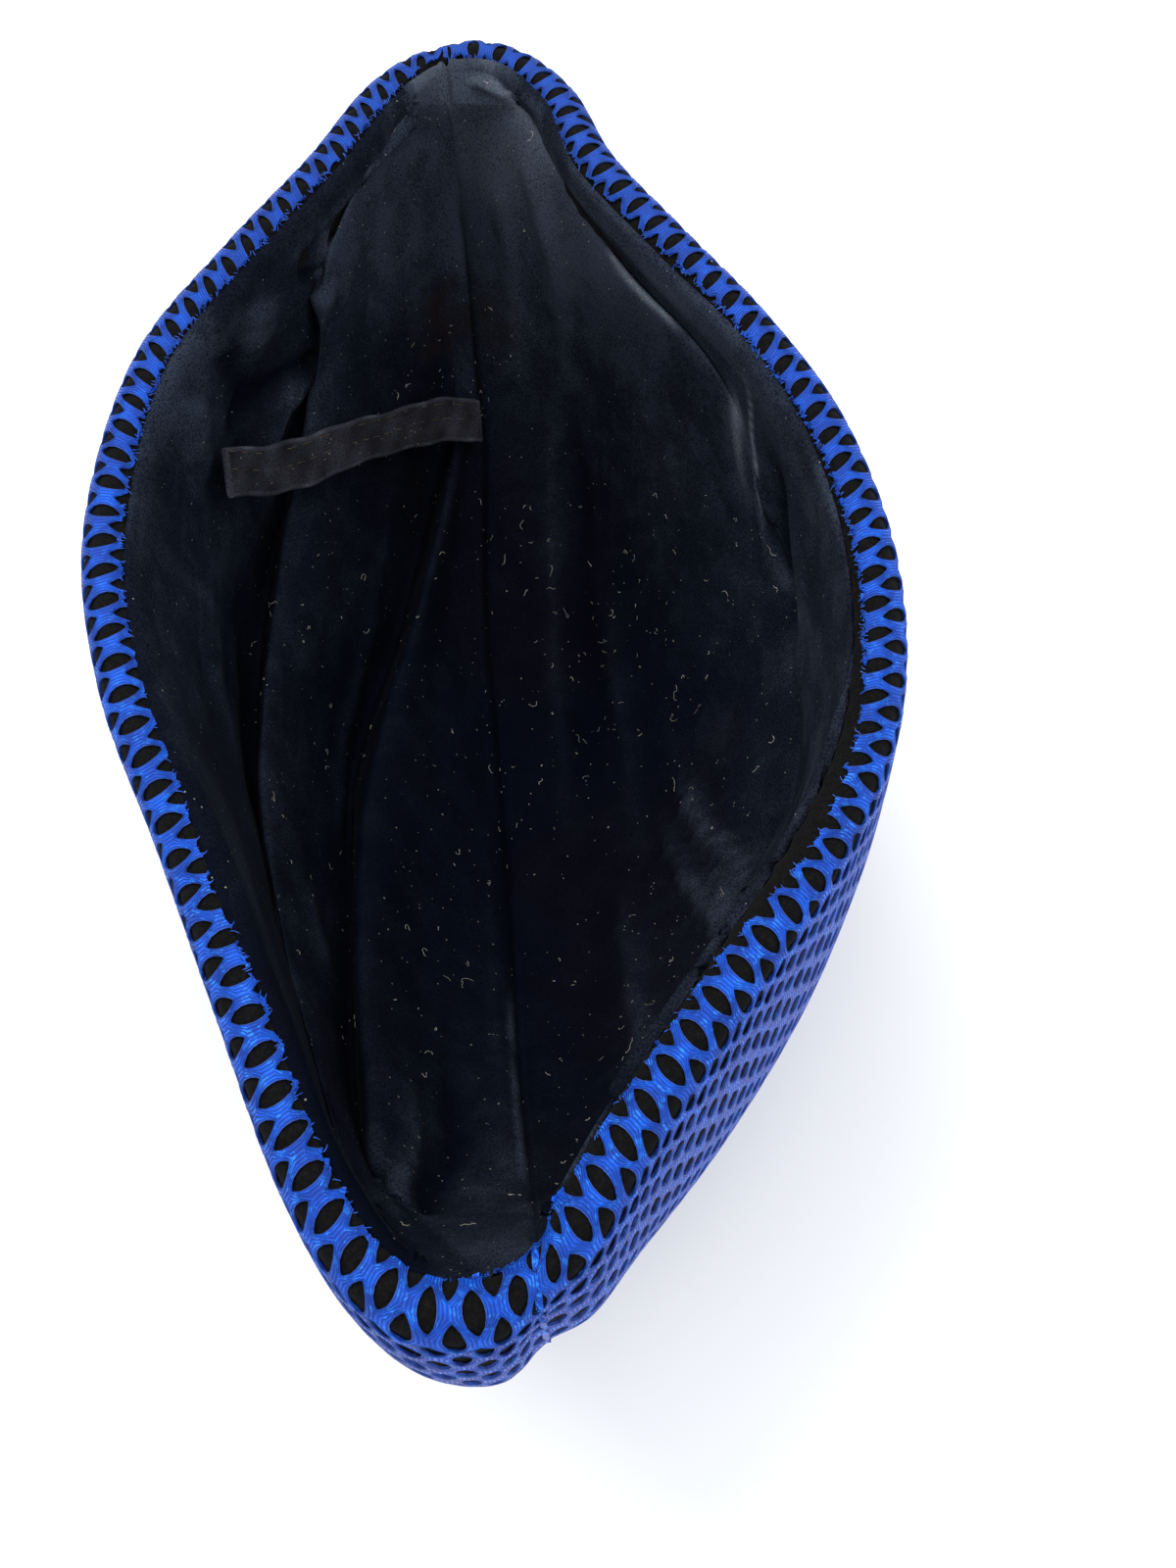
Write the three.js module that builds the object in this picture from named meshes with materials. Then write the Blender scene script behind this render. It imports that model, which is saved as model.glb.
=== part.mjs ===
// A chieftaincy hat lying on its crown with its mouth upwards: a deep cap of two padded panels joined by
// one seam from end to end, covered in a coarse lace net and lined with velvet that hangs in long folds.
// Units are millimetres, +Z is up, +Y runs along the seam to the far end, and z = 0 is where the crown rests.
import * as THREE from 'three';

// ---------- driving dimensions ----------

const ROLL = 4;              // radius of the padded roll round the mouth
const WALL = 6;              // thickness of the padded wall
const FACING = 12;           // depth to which the roll is as thick as it is wide
const GAP = 0.3;             // clearance between neighbouring pieces
const NET = 0.5;             // thickness of the lace net
const LINING = 1.2;          // thickness of the velvet lining
const RAW_EDGE = 6.5;        // depth inside the mouth where the net is cut off
const CELLS = 48;            // lace gaps along the crest of each panel
const GAP_TIP = 45;          // degrees round the roll from its top to the tip of a lace gap
const GAP_SHOULDER = 15;     // degrees to the widest place of a lace gap
const GAP_HALF = 0.24;       // half the width of a lace gap, as a share of the pitch
const SEAM_DIP = 2.5;        // how far the seam draws the padding in
const SEAM_REACH = 5;        // distance from the seam at which the dip has almost gone
const SEAM_SHARE = 0.05;     // share of the crest over which the roll turns square to the seam
const ROLL_DIP = 0.4;        // share of that dip on the roll
const PANEL_GAP = 0.15;      // from the seam plane to each panel
const OVAL = { x: 68, y: 130, middle: 1 }; // the plain oval that the lower wall turns into

// The crest of the roll from above, clockwise from the far end of the seam.
const MOUTH = [
  { x: 0, y: 127 }, { x: 13, y: 125 }, { x: 23, y: 114 }, { x: 30, y: 94 },
  { x: 42, y: 70 }, { x: 55, y: 46 }, { x: 65, y: 20 }, { x: 68.5, y: -10 },
  { x: 64, y: -38 }, { x: 52, y: -61 }, { x: 32, y: -85 }, { x: 15, y: -105 },
  { x: 0, y: -124 }, { x: -12, y: -127 }, { x: -23, y: -122 }, { x: -32, y: -107 },
  { x: -41, y: -80 }, { x: -51, y: -52 }, { x: -62, y: -22 }, { x: -66.5, y: 10 },
  { x: -60, y: 47 }, { x: -44, y: 74 }, { x: -27, y: 97 }, { x: -13, y: 117 },
];
const NEAR_SEAM = 12;        // the row of MOUTH where the seam comes back to the crest

// The padded wall from the roll down to the crown: depth below the crest, the share of the mouth's length
// and width that the wall has there, and how far its outline has turned into the plain oval.
const PROFILE = [
  { depth: 4, length: 1.000, width: 1.000, oval: 0 },
  { depth: 16, length: 1.025, width: 1.015, oval: 0.06 },
  { depth: 32, length: 1.034, width: 1.028, oval: 0.18 },
  { depth: 52, length: 1.000, width: 1.020, oval: 0.42 },
  { depth: 72, length: 0.915, width: 0.957, oval: 0.68 },
  { depth: 90, length: 0.780, width: 0.845, oval: 0.85 },
  { depth: 105, length: 0.590, width: 0.660, oval: 0.95 },
  { depth: 114, length: 0.420, width: 0.480, oval: 1 },
  { depth: 118, length: 0.270, width: 0.310, oval: 1 },
  { depth: 118, length: 0.150, width: 0.170, oval: 1 },
  { depth: 118, length: 0, width: 0, oval: 1 },
];
const CROWN = 118 + GAP + NET; // from the crest down to the surface that the hat rests on

// The lining, section by section from the far end. The sections fan out from a line above the near end:
// mouth is where a section crosses the crest's level. left and right are where each panel is sewn to the
// roll, [share of the crest from the far seam, depth]; every other column is a line of the lining, [x, depth].
// Two folds stand up in the left panel, each with a valley on its left; the right panel has one crease.
const FAN = { y: -137, height: 185, skew: -0.097 };
const SECTIONS = [
  { mouth: 112, left: [0.02, 3], valleyA: [-3, 4], foldA: [-3, 3], backA: [-2.5, 4], valleyB: [-2, 5],
    foldB: [-1.5, 5], backB: [-0.7, 5], seam: [0, 5], floor: [4, 5], crease: [9, 4], pocket: [10, 4],
    right: [0.03, 4] },
  { mouth: 104, left: [0.055, 4], valleyA: [-8, 5], foldA: [-7.5, 4], backA: [-6, 6], valleyB: [-4, 9],
    foldB: [-2.5, 9.5], backB: [-1, 10], seam: [0, 10], floor: [8, 9], crease: [14, 5], pocket: [15, 6],
    right: [0.07, 5] },
  { mouth: 90, left: [0.11, 5], valleyA: [-17, 7], foldA: [-16, 5.5], backA: [-12, 12], valleyB: [-6, 20],
    foldB: [-3, 22], backB: [-1, 24], seam: [0, 25], floor: [13, 21], crease: [20, 8], pocket: [21, 10],
    right: [0.14, 8] },
  { mouth: 65, left: [0.21, 6], valleyA: [-30, 17], foldA: [-28.5, 14], backA: [-20, 28], valleyB: [-9, 40],
    foldB: [-4, 44], backB: [-1, 45], seam: [0, 46], floor: [17, 39], crease: [30, 12], pocket: [31, 16],
    right: [0.24, 10] },
  { mouth: 40, left: [0.3, 6], valleyA: [-36, 38], foldA: [-34, 33], backA: [-23, 49], valleyB: [-9, 63],
    foldB: [-5, 65], backB: [-1, 66], seam: [0, 67], floor: [21, 61], crease: [44, 14], pocket: [46, 18],
    right: [0.34, 11] },
  { mouth: 16, left: [0.39, 6], valleyA: [-45, 55], foldA: [-41, 47], backA: [-29, 60], valleyB: [-14, 82],
    foldB: [-8, 76], backB: [-4, 80], seam: [0, 83], floor: [24, 77], crease: [54, 30], pocket: [57, 27],
    right: [0.44, 11] },
  { mouth: -16, left: [0.51, 6], valleyA: [-55, 65], foldA: [-48, 54], backA: [-37, 72], valleyB: [-25, 97],
    foldB: [-19, 80], backB: [-12, 91], seam: [-3, 98], floor: [27, 94], crease: [59, 50], pocket: [62, 38],
    right: [0.56, 11] },
  { mouth: -47, left: [0.62, 6], valleyA: [-56, 67], foldA: [-51, 56], backA: [-44, 81], valleyB: [-38, 96],
    foldB: [-31, 77], backB: [-18, 90], seam: [-3, 103], floor: [29, 100], crease: [57, 61], pocket: [60, 52],
    right: [0.68, 11] },
  { mouth: -74, left: [0.73, 6], valleyA: [-49, 64], foldA: [-47, 57], backA: [-43, 77], valleyB: [-38, 88],
    foldB: [-33, 67], backB: [-20, 85], seam: [-3, 100], floor: [19, 98], crease: [40, 75], pocket: [43, 66],
    right: [0.79, 11] },
  { mouth: -95, left: [0.8, 6], valleyA: [-39.5, 50], foldA: [-38.5, 48], backA: [-38, 61], valleyB: [-36, 71],
    foldB: [-30, 55], backB: [-19, 72], seam: [-3, 84], floor: [9, 85], crease: [20, 70], pocket: [23, 60],
    right: [0.88, 11] },
  { mouth: -107, left: [0.85, 6], valleyA: [-33, 37], foldA: [-32, 36], backA: [-31.5, 45], valleyB: [-31, 53],
    foldB: [-27, 44], backB: [-18, 56], seam: [-2, 60], floor: [4, 58], crease: [10, 50], pocket: [12, 42],
    right: [0.93, 11] },
  { mouth: -115, left: [0.9, 6], valleyA: [-26, 24], foldA: [-25, 23], backA: [-24, 26], valleyB: [-22, 28],
    foldB: [-20, 25], backB: [-14, 28], seam: [-1, 28], floor: [1, 26], crease: [3, 24], pocket: [4, 22],
    right: [0.965, 11] },
];
const TIPS = [{ y: 120.5, depth: 3 }, { y: -115, depth: 9 }]; // far and near ends of the lining's seam
const LEFT_LINES = ['left', 'valleyA', 'foldA', 'backA', 'valleyB', 'foldB', 'backB', 'seam'];
const RIGHT_LINES = ['right', 'pocket', 'crease', 'floor', 'seam'];
const LINING_ROWS = 20;      // steps of the lining from end to end
const LINING_STEPS = 3;      // steps between two of its lines

// The hanging tab: a doubled strip of velvet sewn into the lining's seam, lying over the left folds.
const TAB = { width: 10.5, thick: 1.8, steps: 12 };
const TAB_ROUTE = [
  { x: -0.5, y: 87, depth: 71 }, { x: -8.5, y: 85, depth: 67 }, { x: -16, y: 79.5, depth: 61.5 },
  { x: -24, y: 71, depth: 54.5 }, { x: -32, y: 62, depth: 46 }, { x: -39, y: 56, depth: 41.5 },
  { x: -45.5, y: 47, depth: 33 }, { x: -50.5, y: 36, depth: 20.5 },
];
const TAB_ACROSS = new THREE.Vector3(0, 0.85, 0.53).normalize(); // direction of the tab's width

const COLOURS = {
  felt: { color: 0x23272a, roughness: 0.95, metalness: 0 },
  lace: { color: 0x3f74d8, roughness: 0.5, metalness: 0 },
  velvet: { color: 0x14161f, roughness: 0.9, metalness: 0 },
  tab: { color: 0x35323a, roughness: 0.9, metalness: 0 },
};

// ---------- the outer form ----------

const degrees = THREE.MathUtils.degToRad;
const lerp = THREE.MathUtils.lerp;
const crest = new THREE.CatmullRomCurve3(
  MOUTH.map(({ x, y }) => new THREE.Vector3(x, y, 0)), true, 'catmullrom', 0.5);

// One panel's part of the crest from the far end of the seam to the near end, as a function of the share
// of its length, giving the place and the direction away from the hat. side is -1 at the left, 1 at the right.
function crestOf(side) {
  const near = NEAR_SEAM / MOUTH.length;
  const count = 400;
  const places = Array.from({ length: count + 1 }, (_, i) => {
    const share = i / count;
    return crest.getPoint(side > 0 ? near * share : 1 - (1 - near) * share);
  });
  const line = new THREE.CatmullRomCurve3(places, false, 'catmullrom', 0.5);
  line.arcLengthDivisions = count;
  return (share) => {
    const along = THREE.MathUtils.clamp(share, 0, 1);
    const place = line.getPointAt(along);
    const tangent = line.getTangentAt(along);
    const out = new THREE.Vector3(-tangent.y * side, tangent.x * side, 0).normalize();
    const fromEnd = Math.min(along, 1 - along) / SEAM_SHARE;
    out.x *= THREE.MathUtils.smoothstep(fromEnd, 0, 1);
    return { place, out: out.normalize() };
  };
}
const crests = { [-1]: crestOf(-1), [1]: crestOf(1) };

// A point of the roll, angle degrees round from its top, and its normal.
function rollPoint(side, share, angle) {
  const { place, out } = crests[side](share);
  const normal = out.clone().multiplyScalar(Math.sin(degrees(angle)));
  normal.z = Math.cos(degrees(angle));
  const point = place.clone().addScaledVector(normal, ROLL);
  point.z -= ROLL;
  return { point, normal };
}

// A point straight under the inner side of the roll.
function facingPoint(side, share, depth) {
  const { place, out } = crests[side](share);
  const point = place.clone().addScaledVector(out, -ROLL);
  point.z = -depth;
  return { point, normal: out.clone().negate() };
}

function bareWall(side, share, row) {
  const { depth, length, width, oval } = PROFILE[row];
  const { place, out } = crests[side](share);
  const edge = place.clone().addScaledVector(out, ROLL);
  const turn = Math.PI * share;
  const x = lerp(edge.x, side * OVAL.x * Math.sin(turn), oval);
  const y = lerp(edge.y, OVAL.middle + OVAL.y * Math.cos(turn), oval);
  return new THREE.Vector3(x * width, y * length, -depth);
}

// A point of the wall on a row of PROFILE, and its normal.
function wallPoint(side, share, row) {
  const point = bareWall(side, share, row);
  const last = PROFILE.length - 1;
  if (PROFILE[row].depth === PROFILE[last].depth) return { point, normal: new THREE.Vector3(0, 0, -1) };
  if (row === 0) return { point, normal: crests[side](share).out.clone() };
  const step = 0.5 / CELLS;
  const around = bareWall(side, Math.min(1, share + step), row).sub(bareWall(side, Math.max(0, share - step), row));
  const down = bareWall(side, share, row + 1).sub(bareWall(side, share, row - 1));
  const normal = down.cross(around).multiplyScalar(-side).normalize();
  return { point, normal };
}

// Draws a point in along the seam, and keeps it on its own side of the seam plane.
function seamed({ point, normal }, side, dip) {
  const drawn = dip * Math.exp(-((point.x / SEAM_REACH) ** 2));
  const inward = normal.clone();
  if (Math.abs(point.x) < 1e-3) inward.x = 0;
  inward.normalize();
  return { point: point.clone().addScaledVector(inward, -drawn), normal: inward };
}

// The point lifted off along its normal, at its final height, clear of the other panel.
function lifted({ point, normal }, side, lift) {
  const moved = point.clone().addScaledVector(normal, lift);
  moved.x = side * Math.max(side * moved.x, PANEL_GAP);
  moved.z += CROWN;
  return moved;
}

const ROWS = {
  facing: (side, share) => seamed(facingPoint(side, share, FACING), side, 0),
  rawEdge: (side, share) => seamed(facingPoint(side, share, RAW_EDGE), side, 0),
  roll: (angle) => (side, share) => {
    const outer = Math.max(0, Math.sin(degrees(angle)) + 0.5) / 1.5;
    return seamed(rollPoint(side, share, angle), side, SEAM_DIP * ROLL_DIP * outer);
  },
  wall: (row) => (side, share) => {
    const dip = row === 0 ? SEAM_DIP * ROLL_DIP : SEAM_DIP;
    return seamed(wallPoint(side, share, row), side, dip);
  },
};

// A point between two of the panel's columns lies on the straight facet between them.
function onFacet(rowAt, side, column) {
  const low = Math.floor(column);
  const high = Math.ceil(column);
  const a = rowAt(side, low / CELLS);
  if (low === high) return a;
  const b = rowAt(side, high / CELLS);
  return {
    point: a.point.clone().lerp(b.point, column - low),
    normal: a.normal.clone().lerp(b.normal, column - low).normalize(),
  };
}

// ---------- closed solids from sheets ----------

// A sheet is a set of corners, each with a place on its two faces, and triangles between corners.
class Sheet {
  constructor() {
    this.corners = new Map();
    this.triangles = [];
  }

  corner(key, front, back) {
    if (!this.corners.has(key)) this.corners.set(key, { front, back });
    return key;
  }

  // Fills between two rows of corners, given as lists of [position, key] in the same direction.
  bridge(upper, lower) {
    let i = 0;
    let j = 0;
    while (i < upper.length - 1 || j < lower.length - 1) {
      const stepUpper = j === lower.length - 1
        || (i < upper.length - 1 && upper[i + 1][0] + upper[i][0] <= lower[j + 1][0] + lower[j][0]);
      if (stepUpper) {
        this.triangle(upper[i][1], upper[i + 1][1], lower[j][1]);
        i += 1;
      } else {
        this.triangle(upper[i][1], lower[j + 1][1], lower[j][1]);
        j += 1;
      }
    }
  }

  triangle(a, b, c) {
    if (a !== b && b !== c && c !== a) this.triangles.push([a, b, c]);
  }

  // The closed solid between the two faces, with a wall along every open edge.
  solid() {
    const places = [];
    const index = new Map();
    const seat = (vector) => {
      const key = vector.toArray().map((v) => Math.round(v * 1000)).join();
      if (!index.has(key)) {
        index.set(key, places.length / 3);
        places.push(...vector.toArray());
      }
      return index.get(key);
    };
    const faces = [];
    const add = (a, b, c) => {
      if (a !== b && b !== c && c !== a) faces.push([a, b, c]);
    };
    const front = new Map();
    const back = new Map();
    for (const [key, corner] of this.corners) {
      front.set(key, seat(corner.front));
      back.set(key, seat(corner.back));
    }
    const open = new Map();
    for (const [a, b, c] of this.triangles) {
      add(front.get(a), front.get(b), front.get(c));
      add(back.get(a), back.get(c), back.get(b));
      for (const [from, to] of [[a, b], [b, c], [c, a]]) {
        if (open.has(`${to}|${from}`)) open.delete(`${to}|${from}`);
        else open.set(`${from}|${to}`, [from, to]);
      }
    }
    for (const [from, to] of open.values()) {
      add(front.get(to), front.get(from), back.get(from));
      add(front.get(to), back.get(from), back.get(to));
    }
    return outward(places, faces);
  }
}

// A geometry whose faces point outwards.
function outward(places, faces) {
  const at = (i) => new THREE.Vector3().fromArray(places, 3 * i);
  const volume = faces.reduce((sum, [a, b, c]) => sum + at(a).dot(at(b).cross(at(c))), 0);
  const index = faces.flatMap(([a, b, c]) => (volume > 0 ? [a, b, c] : [a, c, b]));
  const geometry = new THREE.BufferGeometry();
  geometry.setAttribute('position', new THREE.Float32BufferAttribute(places, 3));
  geometry.setIndex(index);
  geometry.computeVertexNormals();
  return geometry;
}

// ---------- padded panels ----------

const EVERY = Array.from({ length: CELLS + 1 }, (_, k) => k);
const everyNth = (n) => EVERY.filter((k) => k % n === 0 || k < 2 || k > CELLS - 2);
const columnsAt = (row) => (row < 2 ? EVERY : everyNth(Math.min(4, 1 + Math.floor(row / 2))));
const POLE = PROFILE.length - 1;

function shellPanel(side) {
  const sheet = new Sheet();
  const rowOf = (name, columns, outer, inner) => columns.map((k) => {
    const key = `${name}:${name === 'pole' ? 0 : k}`;
    return [k, sheet.corner(key, lifted(outer(side, k / CELLS), side, 0), inner(k / CELLS))];
  });
  const rollInner = (angle) => (share) => lifted(ROWS.roll(-angle)(side, share), side, 0);
  const rows = [GAP_SHOULDER, GAP_TIP, 90].map((angle) => rowOf(
    `roll${angle}`, EVERY, angle === 90 ? ROWS.wall(0) : ROWS.roll(angle), rollInner(angle)));
  rows.push(rowOf('facing', columnsAt(1), ROWS.wall(1), (share) => lifted(ROWS.facing(side, share), side, 0)));
  for (let row = 2; row <= POLE; row++) {
    rows.push(rowOf(row === POLE ? 'pole' : `wall${row}`, columnsAt(row), ROWS.wall(row),
      (share) => lifted(ROWS.wall(row)(side, share), side, -WALL)));
  }
  for (let i = 1; i < rows.length; i++) sheet.bridge(rows[i - 1], rows[i]);
  return sheet.solid();
}

// ---------- lace panels ----------

// The net goes from its raw edge inside the mouth, over the roll, and down the wall to the crown. A row of
// pointed oval gaps is cut through along the crest; between two gaps the net is a strip of strands.
function netPanel(side) {
  const sheet = new Sheet();
  const rowOf = (name, columns, rowAt) => columns.map((column) => {
    const place = onFacet(rowAt, side, column);
    const key = `${name}:${name === 'pole' ? 0 : column}`;
    return [column, sheet.corner(key, lifted(place, side, GAP + NET), lifted(place, side, GAP))];
  });
  const halves = EVERY.flatMap((k) => (k < CELLS ? [k, k + 0.5] : [k]));
  const innerTips = rowOf('innerTips', halves, ROWS.roll(-GAP_TIP));
  const outerTips = rowOf('outerTips', halves, ROWS.roll(GAP_TIP));

  const inside = rowOf('inside', EVERY, ROWS.roll(-90));
  sheet.bridge(rowOf('rawEdge', EVERY, ROWS.rawEdge), inside);
  sheet.bridge(inside, innerTips);
  for (const k of EVERY) {
    const left = k === 0 ? 0 : k - 0.5 + GAP_HALF;
    const right = k === CELLS ? CELLS : k + 0.5 - GAP_HALF;
    const within = ([column]) => Math.abs(column - k) <= 0.5;
    const inner = rowOf('innerShoulder', [left, right], ROWS.roll(-GAP_SHOULDER));
    const outer = rowOf('outerShoulder', [left, right], ROWS.roll(GAP_SHOULDER));
    sheet.bridge(innerTips.filter(within), inner);
    sheet.bridge(inner, outer);
    sheet.bridge(outer, outerTips.filter(within));
  }
  let above = rowOf('outside', EVERY, ROWS.wall(0));
  sheet.bridge(outerTips, above);
  for (let row = 1; row <= POLE; row++) {
    const below = rowOf(row === POLE ? 'pole' : `wall${row}`, columnsAt(row), ROWS.wall(row));
    sheet.bridge(above, below);
    above = below;
  }
  return sheet.solid();
}

// ---------- velvet lining ----------

function sectionY(mouth, x, depth) {
  return mouth + ((mouth - FAN.y) / FAN.height) * depth + FAN.skew * x;
}

// A smooth value through the rows of a list, where place is counted in rows.
function through(values, place) {
  const row = Math.min(Math.floor(place), values.length - 2);
  const at = (i) => {
    if (i < 0) return 2 * values[0] - values[1];
    if (i >= values.length) return 2 * values.at(-1) - values.at(-2);
    return values[i];
  };
  const [a, b, c, d] = [at(row - 1), at(row), at(row + 1), at(row + 2)];
  const t = place - row;
  const slopeB = (c - a) / 2;
  const slopeC = (d - b) / 2;
  return b + slopeB * t + (3 * (c - b) - 2 * slopeB - slopeC) * t * t + (2 * (b - c) + slopeB + slopeC) * t ** 3;
}

// The inner face of the lining where a panel is sewn on, clear of the net.
function sewnPoint(side, share, depth) {
  const { point, normal } = facingPoint(side, share, depth);
  return point.addScaledVector(normal, NET + 2 * GAP + LINING);
}

// The sections with a tip added at each end of the seam, where every line comes together.
function sectionsWithTips(lines) {
  const [far, near] = TIPS.map(({ y, depth }, share) => {
    const mouth = (y + (FAN.y / FAN.height) * depth) / (1 + depth / FAN.height);
    const row = { mouth, left: [share, depth], right: [share, depth] };
    for (const line of lines.slice(1)) row[line] = [0, depth];
    return row;
  });
  return [far, ...SECTIONS, near];
}

// The inner face of a panel of the lining, a list of points from its sewn edge to its seam for each step.
function liningFace(side, lines) {
  const sections = sectionsWithTips(lines);
  const value = (line, item, place) => through(sections.map((row) => row[line][item]), place);
  const steps = (lines.length - 1) * LINING_STEPS;
  return Array.from({ length: LINING_ROWS + 1 }, (_, i) => {
    const share = i / LINING_ROWS;
    const place = (share - Math.sin(2 * Math.PI * share) / 9) * (sections.length - 1); // closer at the ends
    const mouth = through(sections.map((row) => row.mouth), place);
    const points = lines.map((line, n) => {
      const [first, depth] = [value(line, 0, place), value(line, 1, place)];
      return n === 0
        ? sewnPoint(side, THREE.MathUtils.clamp(first, 0, 1), depth)
        : new THREE.Vector3(first, sectionY(mouth, first, depth), -depth);
    });
    return Array.from({ length: steps + 1 }, (__, j) => new THREE.Vector3(
      ...['x', 'y', 'z'].map((axis) => through(points.map((p) => p[axis]), j / LINING_STEPS))));
  });
}

function liningPanel(side, lines) {
  const face = liningFace(side, lines);
  const last = face.length - 1;
  const seam = face[0].length - 1;
  const sheet = new Sheet();
  const rows = face.map((section, i) => section.map((point, j) => {
    const tip = i === 0 || i === last;
    const along = face[Math.min(last, i + 1)][j].clone().sub(face[Math.max(0, i - 1)][j]);
    const over = section[Math.min(seam, j + 1)].clone().sub(section[Math.max(0, j - 1)]);
    const normal = tip ? new THREE.Vector3(0, Math.sign(point.y), 0) : along.cross(over).multiplyScalar(-side);
    if (j === seam) normal.x = 0;
    if (j === 0) normal.z = 0;
    const corners = [0, LINING].map((lift) => {
      const corner = (tip ? section[seam] : point).clone().addScaledVector(normal.normalize(), lift);
      corner.x = side * Math.max(side * corner.x, side * section[seam].x + PANEL_GAP);
      corner.z += CROWN;
      return corner;
    });
    return [j, sheet.corner(tip ? `tip:${i}` : `${i}:${j}`, ...corners)];
  }));
  for (let i = 1; i < rows.length; i++) sheet.bridge(rows[i - 1], rows[i]);
  return sheet.solid();
}

// ---------- hanging tab ----------

function tab() {
  const route = new THREE.CatmullRomCurve3(
    TAB_ROUTE.map(({ x, y, depth }) => new THREE.Vector3(x, y, CROWN - depth)), false, 'catmullrom', 0.5);
  const sheet = new Sheet();
  const rows = [];
  for (let i = 0; i <= TAB.steps; i++) {
    const place = route.getPointAt(i / TAB.steps);
    const face = route.getTangentAt(i / TAB.steps).cross(TAB_ACROSS).normalize();
    rows.push([-0.5, 0, 0.5].map((share) => {
      const middle = place.clone().addScaledVector(TAB_ACROSS, share * TAB.width);
      const front = middle.clone().addScaledVector(face, TAB.thick / 2);
      const back = middle.clone().addScaledVector(face, -TAB.thick / 2);
      return [share, sheet.corner(`${i}:${share}`, front, back)];
    }));
  }
  for (let i = 1; i < rows.length; i++) sheet.bridge(rows[i - 1], rows[i]);
  return sheet.solid();
}

// ---------- the hat ----------

function piece(name, geometry, finish) {
  const mesh = new THREE.Mesh(geometry, new THREE.MeshStandardMaterial(finish));
  mesh.name = name;
  return mesh;
}

const hat = new THREE.Group();
hat.add(
  piece('shell_left', shellPanel(-1), COLOURS.felt),
  piece('shell_right', shellPanel(1), COLOURS.felt),
  piece('net_left', netPanel(-1), COLOURS.lace),
  piece('net_right', netPanel(1), COLOURS.lace),
  piece('lining_left', liningPanel(-1, LEFT_LINES), COLOURS.velvet),
  piece('lining_right', liningPanel(1, RIGHT_LINES), COLOURS.velvet),
  piece('hanging_tab', tab(), COLOURS.tab),
);

// The origin is under the middle of the hat.
const middle = new THREE.Box3().setFromObject(hat).getCenter(new THREE.Vector3());
hat.position.set(-middle.x, -middle.y, 0);

export default hat;
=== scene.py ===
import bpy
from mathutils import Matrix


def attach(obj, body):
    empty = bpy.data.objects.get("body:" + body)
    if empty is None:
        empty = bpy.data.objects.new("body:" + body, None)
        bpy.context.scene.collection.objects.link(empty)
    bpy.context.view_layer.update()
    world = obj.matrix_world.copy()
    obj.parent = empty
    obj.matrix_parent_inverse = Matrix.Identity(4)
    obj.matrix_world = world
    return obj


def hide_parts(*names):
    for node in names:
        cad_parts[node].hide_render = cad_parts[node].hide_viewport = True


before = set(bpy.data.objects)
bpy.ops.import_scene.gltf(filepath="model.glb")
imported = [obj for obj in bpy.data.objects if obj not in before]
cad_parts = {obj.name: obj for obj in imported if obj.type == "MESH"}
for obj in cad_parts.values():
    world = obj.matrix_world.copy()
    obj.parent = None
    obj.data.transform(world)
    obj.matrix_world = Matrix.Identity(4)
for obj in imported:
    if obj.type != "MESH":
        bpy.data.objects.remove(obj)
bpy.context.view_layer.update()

import math
import random
from contextlib import contextmanager

import bmesh
import bpy
import numpy as np
from mathutils import Vector

bl_info = {
    "name": "Chieftaincy hat",
    "version": (1, 0, 0),
    "blender": (4, 5, 0),
    "location": "3D View > Sidebar > Hat",
    "description": "Padded two-panel hat in coarse lace over a velvet lining",
    "category": "Add Mesh",
}

# ---------------------------------------------------------------------------
# The hat's form, in millimetres from the seam: +y to the far end, depth down from the crest of the roll
# ---------------------------------------------------------------------------

SIDES = ((-1, "left"), (1, "right"))
GAPS = 48                    # gaps of the lace along each panel's crest
LACE_SEED, FRAY_SEED, LINT_SEED = 11, 3, 5
MIDDLE = (0.84, 0.17)        # where the hat's middle lies from the seam's own axes
CROWN = 118.8                # the crest's height over the surface that the hat rests on
ROLL = 4.0                   # radius of the padded roll
NET_RADIUS = 4.55            # radius at which the net runs round the roll
WALL = 4.5                   # thickness of the padded wall under the net
SEAM_DIP = 2.5               # how deep the seam draws the panels in
SEAM_REACH = 5.0             # and how far to each side
SEAM_SHARE = 0.05            # share of the crest in which it turns square to the seam
PANEL_GAP = 0.01             # from the seam's middle to each panel
OVAL_WIDTH, OVAL_LENGTH, OVAL_MIDDLE = 68.0, 130.0, 1.0   # halves of the plain oval that the crown nears
NEAR_SEAM = 12               # row of the mouth where the seam ends

# The crest round the mouth, from the far end of the seam past the right side
MOUTH = np.array([
    (0, 129.5), (13, 127), (23, 114.5), (29.5, 93.5), (42, 70), (55, 46), (65, 20), (68.5, -10),
    (64, -38), (52, -61), (32, -85), (15, -105), (0, -124), (-12, -127), (-22.3, -121.2), (-31.3, -106.5),
    (-41, -80), (-51, -52), (-62, -22), (-66.5, 10), (-60, 47), (-44, 74), (-27, 98), (-14, 119),
], float)

# Down the wall: depth, share of the length, share of the width, and how nearly it is the plain oval
PROFILE = np.array([
    (4, 1.000, 1.000, 0), (16, 1.025, 1.015, 0.06), (32, 1.034, 1.028, 0.18), (52, 1.000, 1.020, 0.42),
    (72, 0.915, 0.957, 0.68), (90, 0.780, 0.845, 0.85), (105, 0.590, 0.660, 0.95), (114, 0.420, 0.480, 1),
    (118, 0.270, 0.310, 1), (118, 0.150, 0.170, 1), (118, 0, 0, 1),
], float)


def smoothstep(value):
    value = np.clip(value, 0, 1)
    return value * value * (3 - 2 * value)


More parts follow.
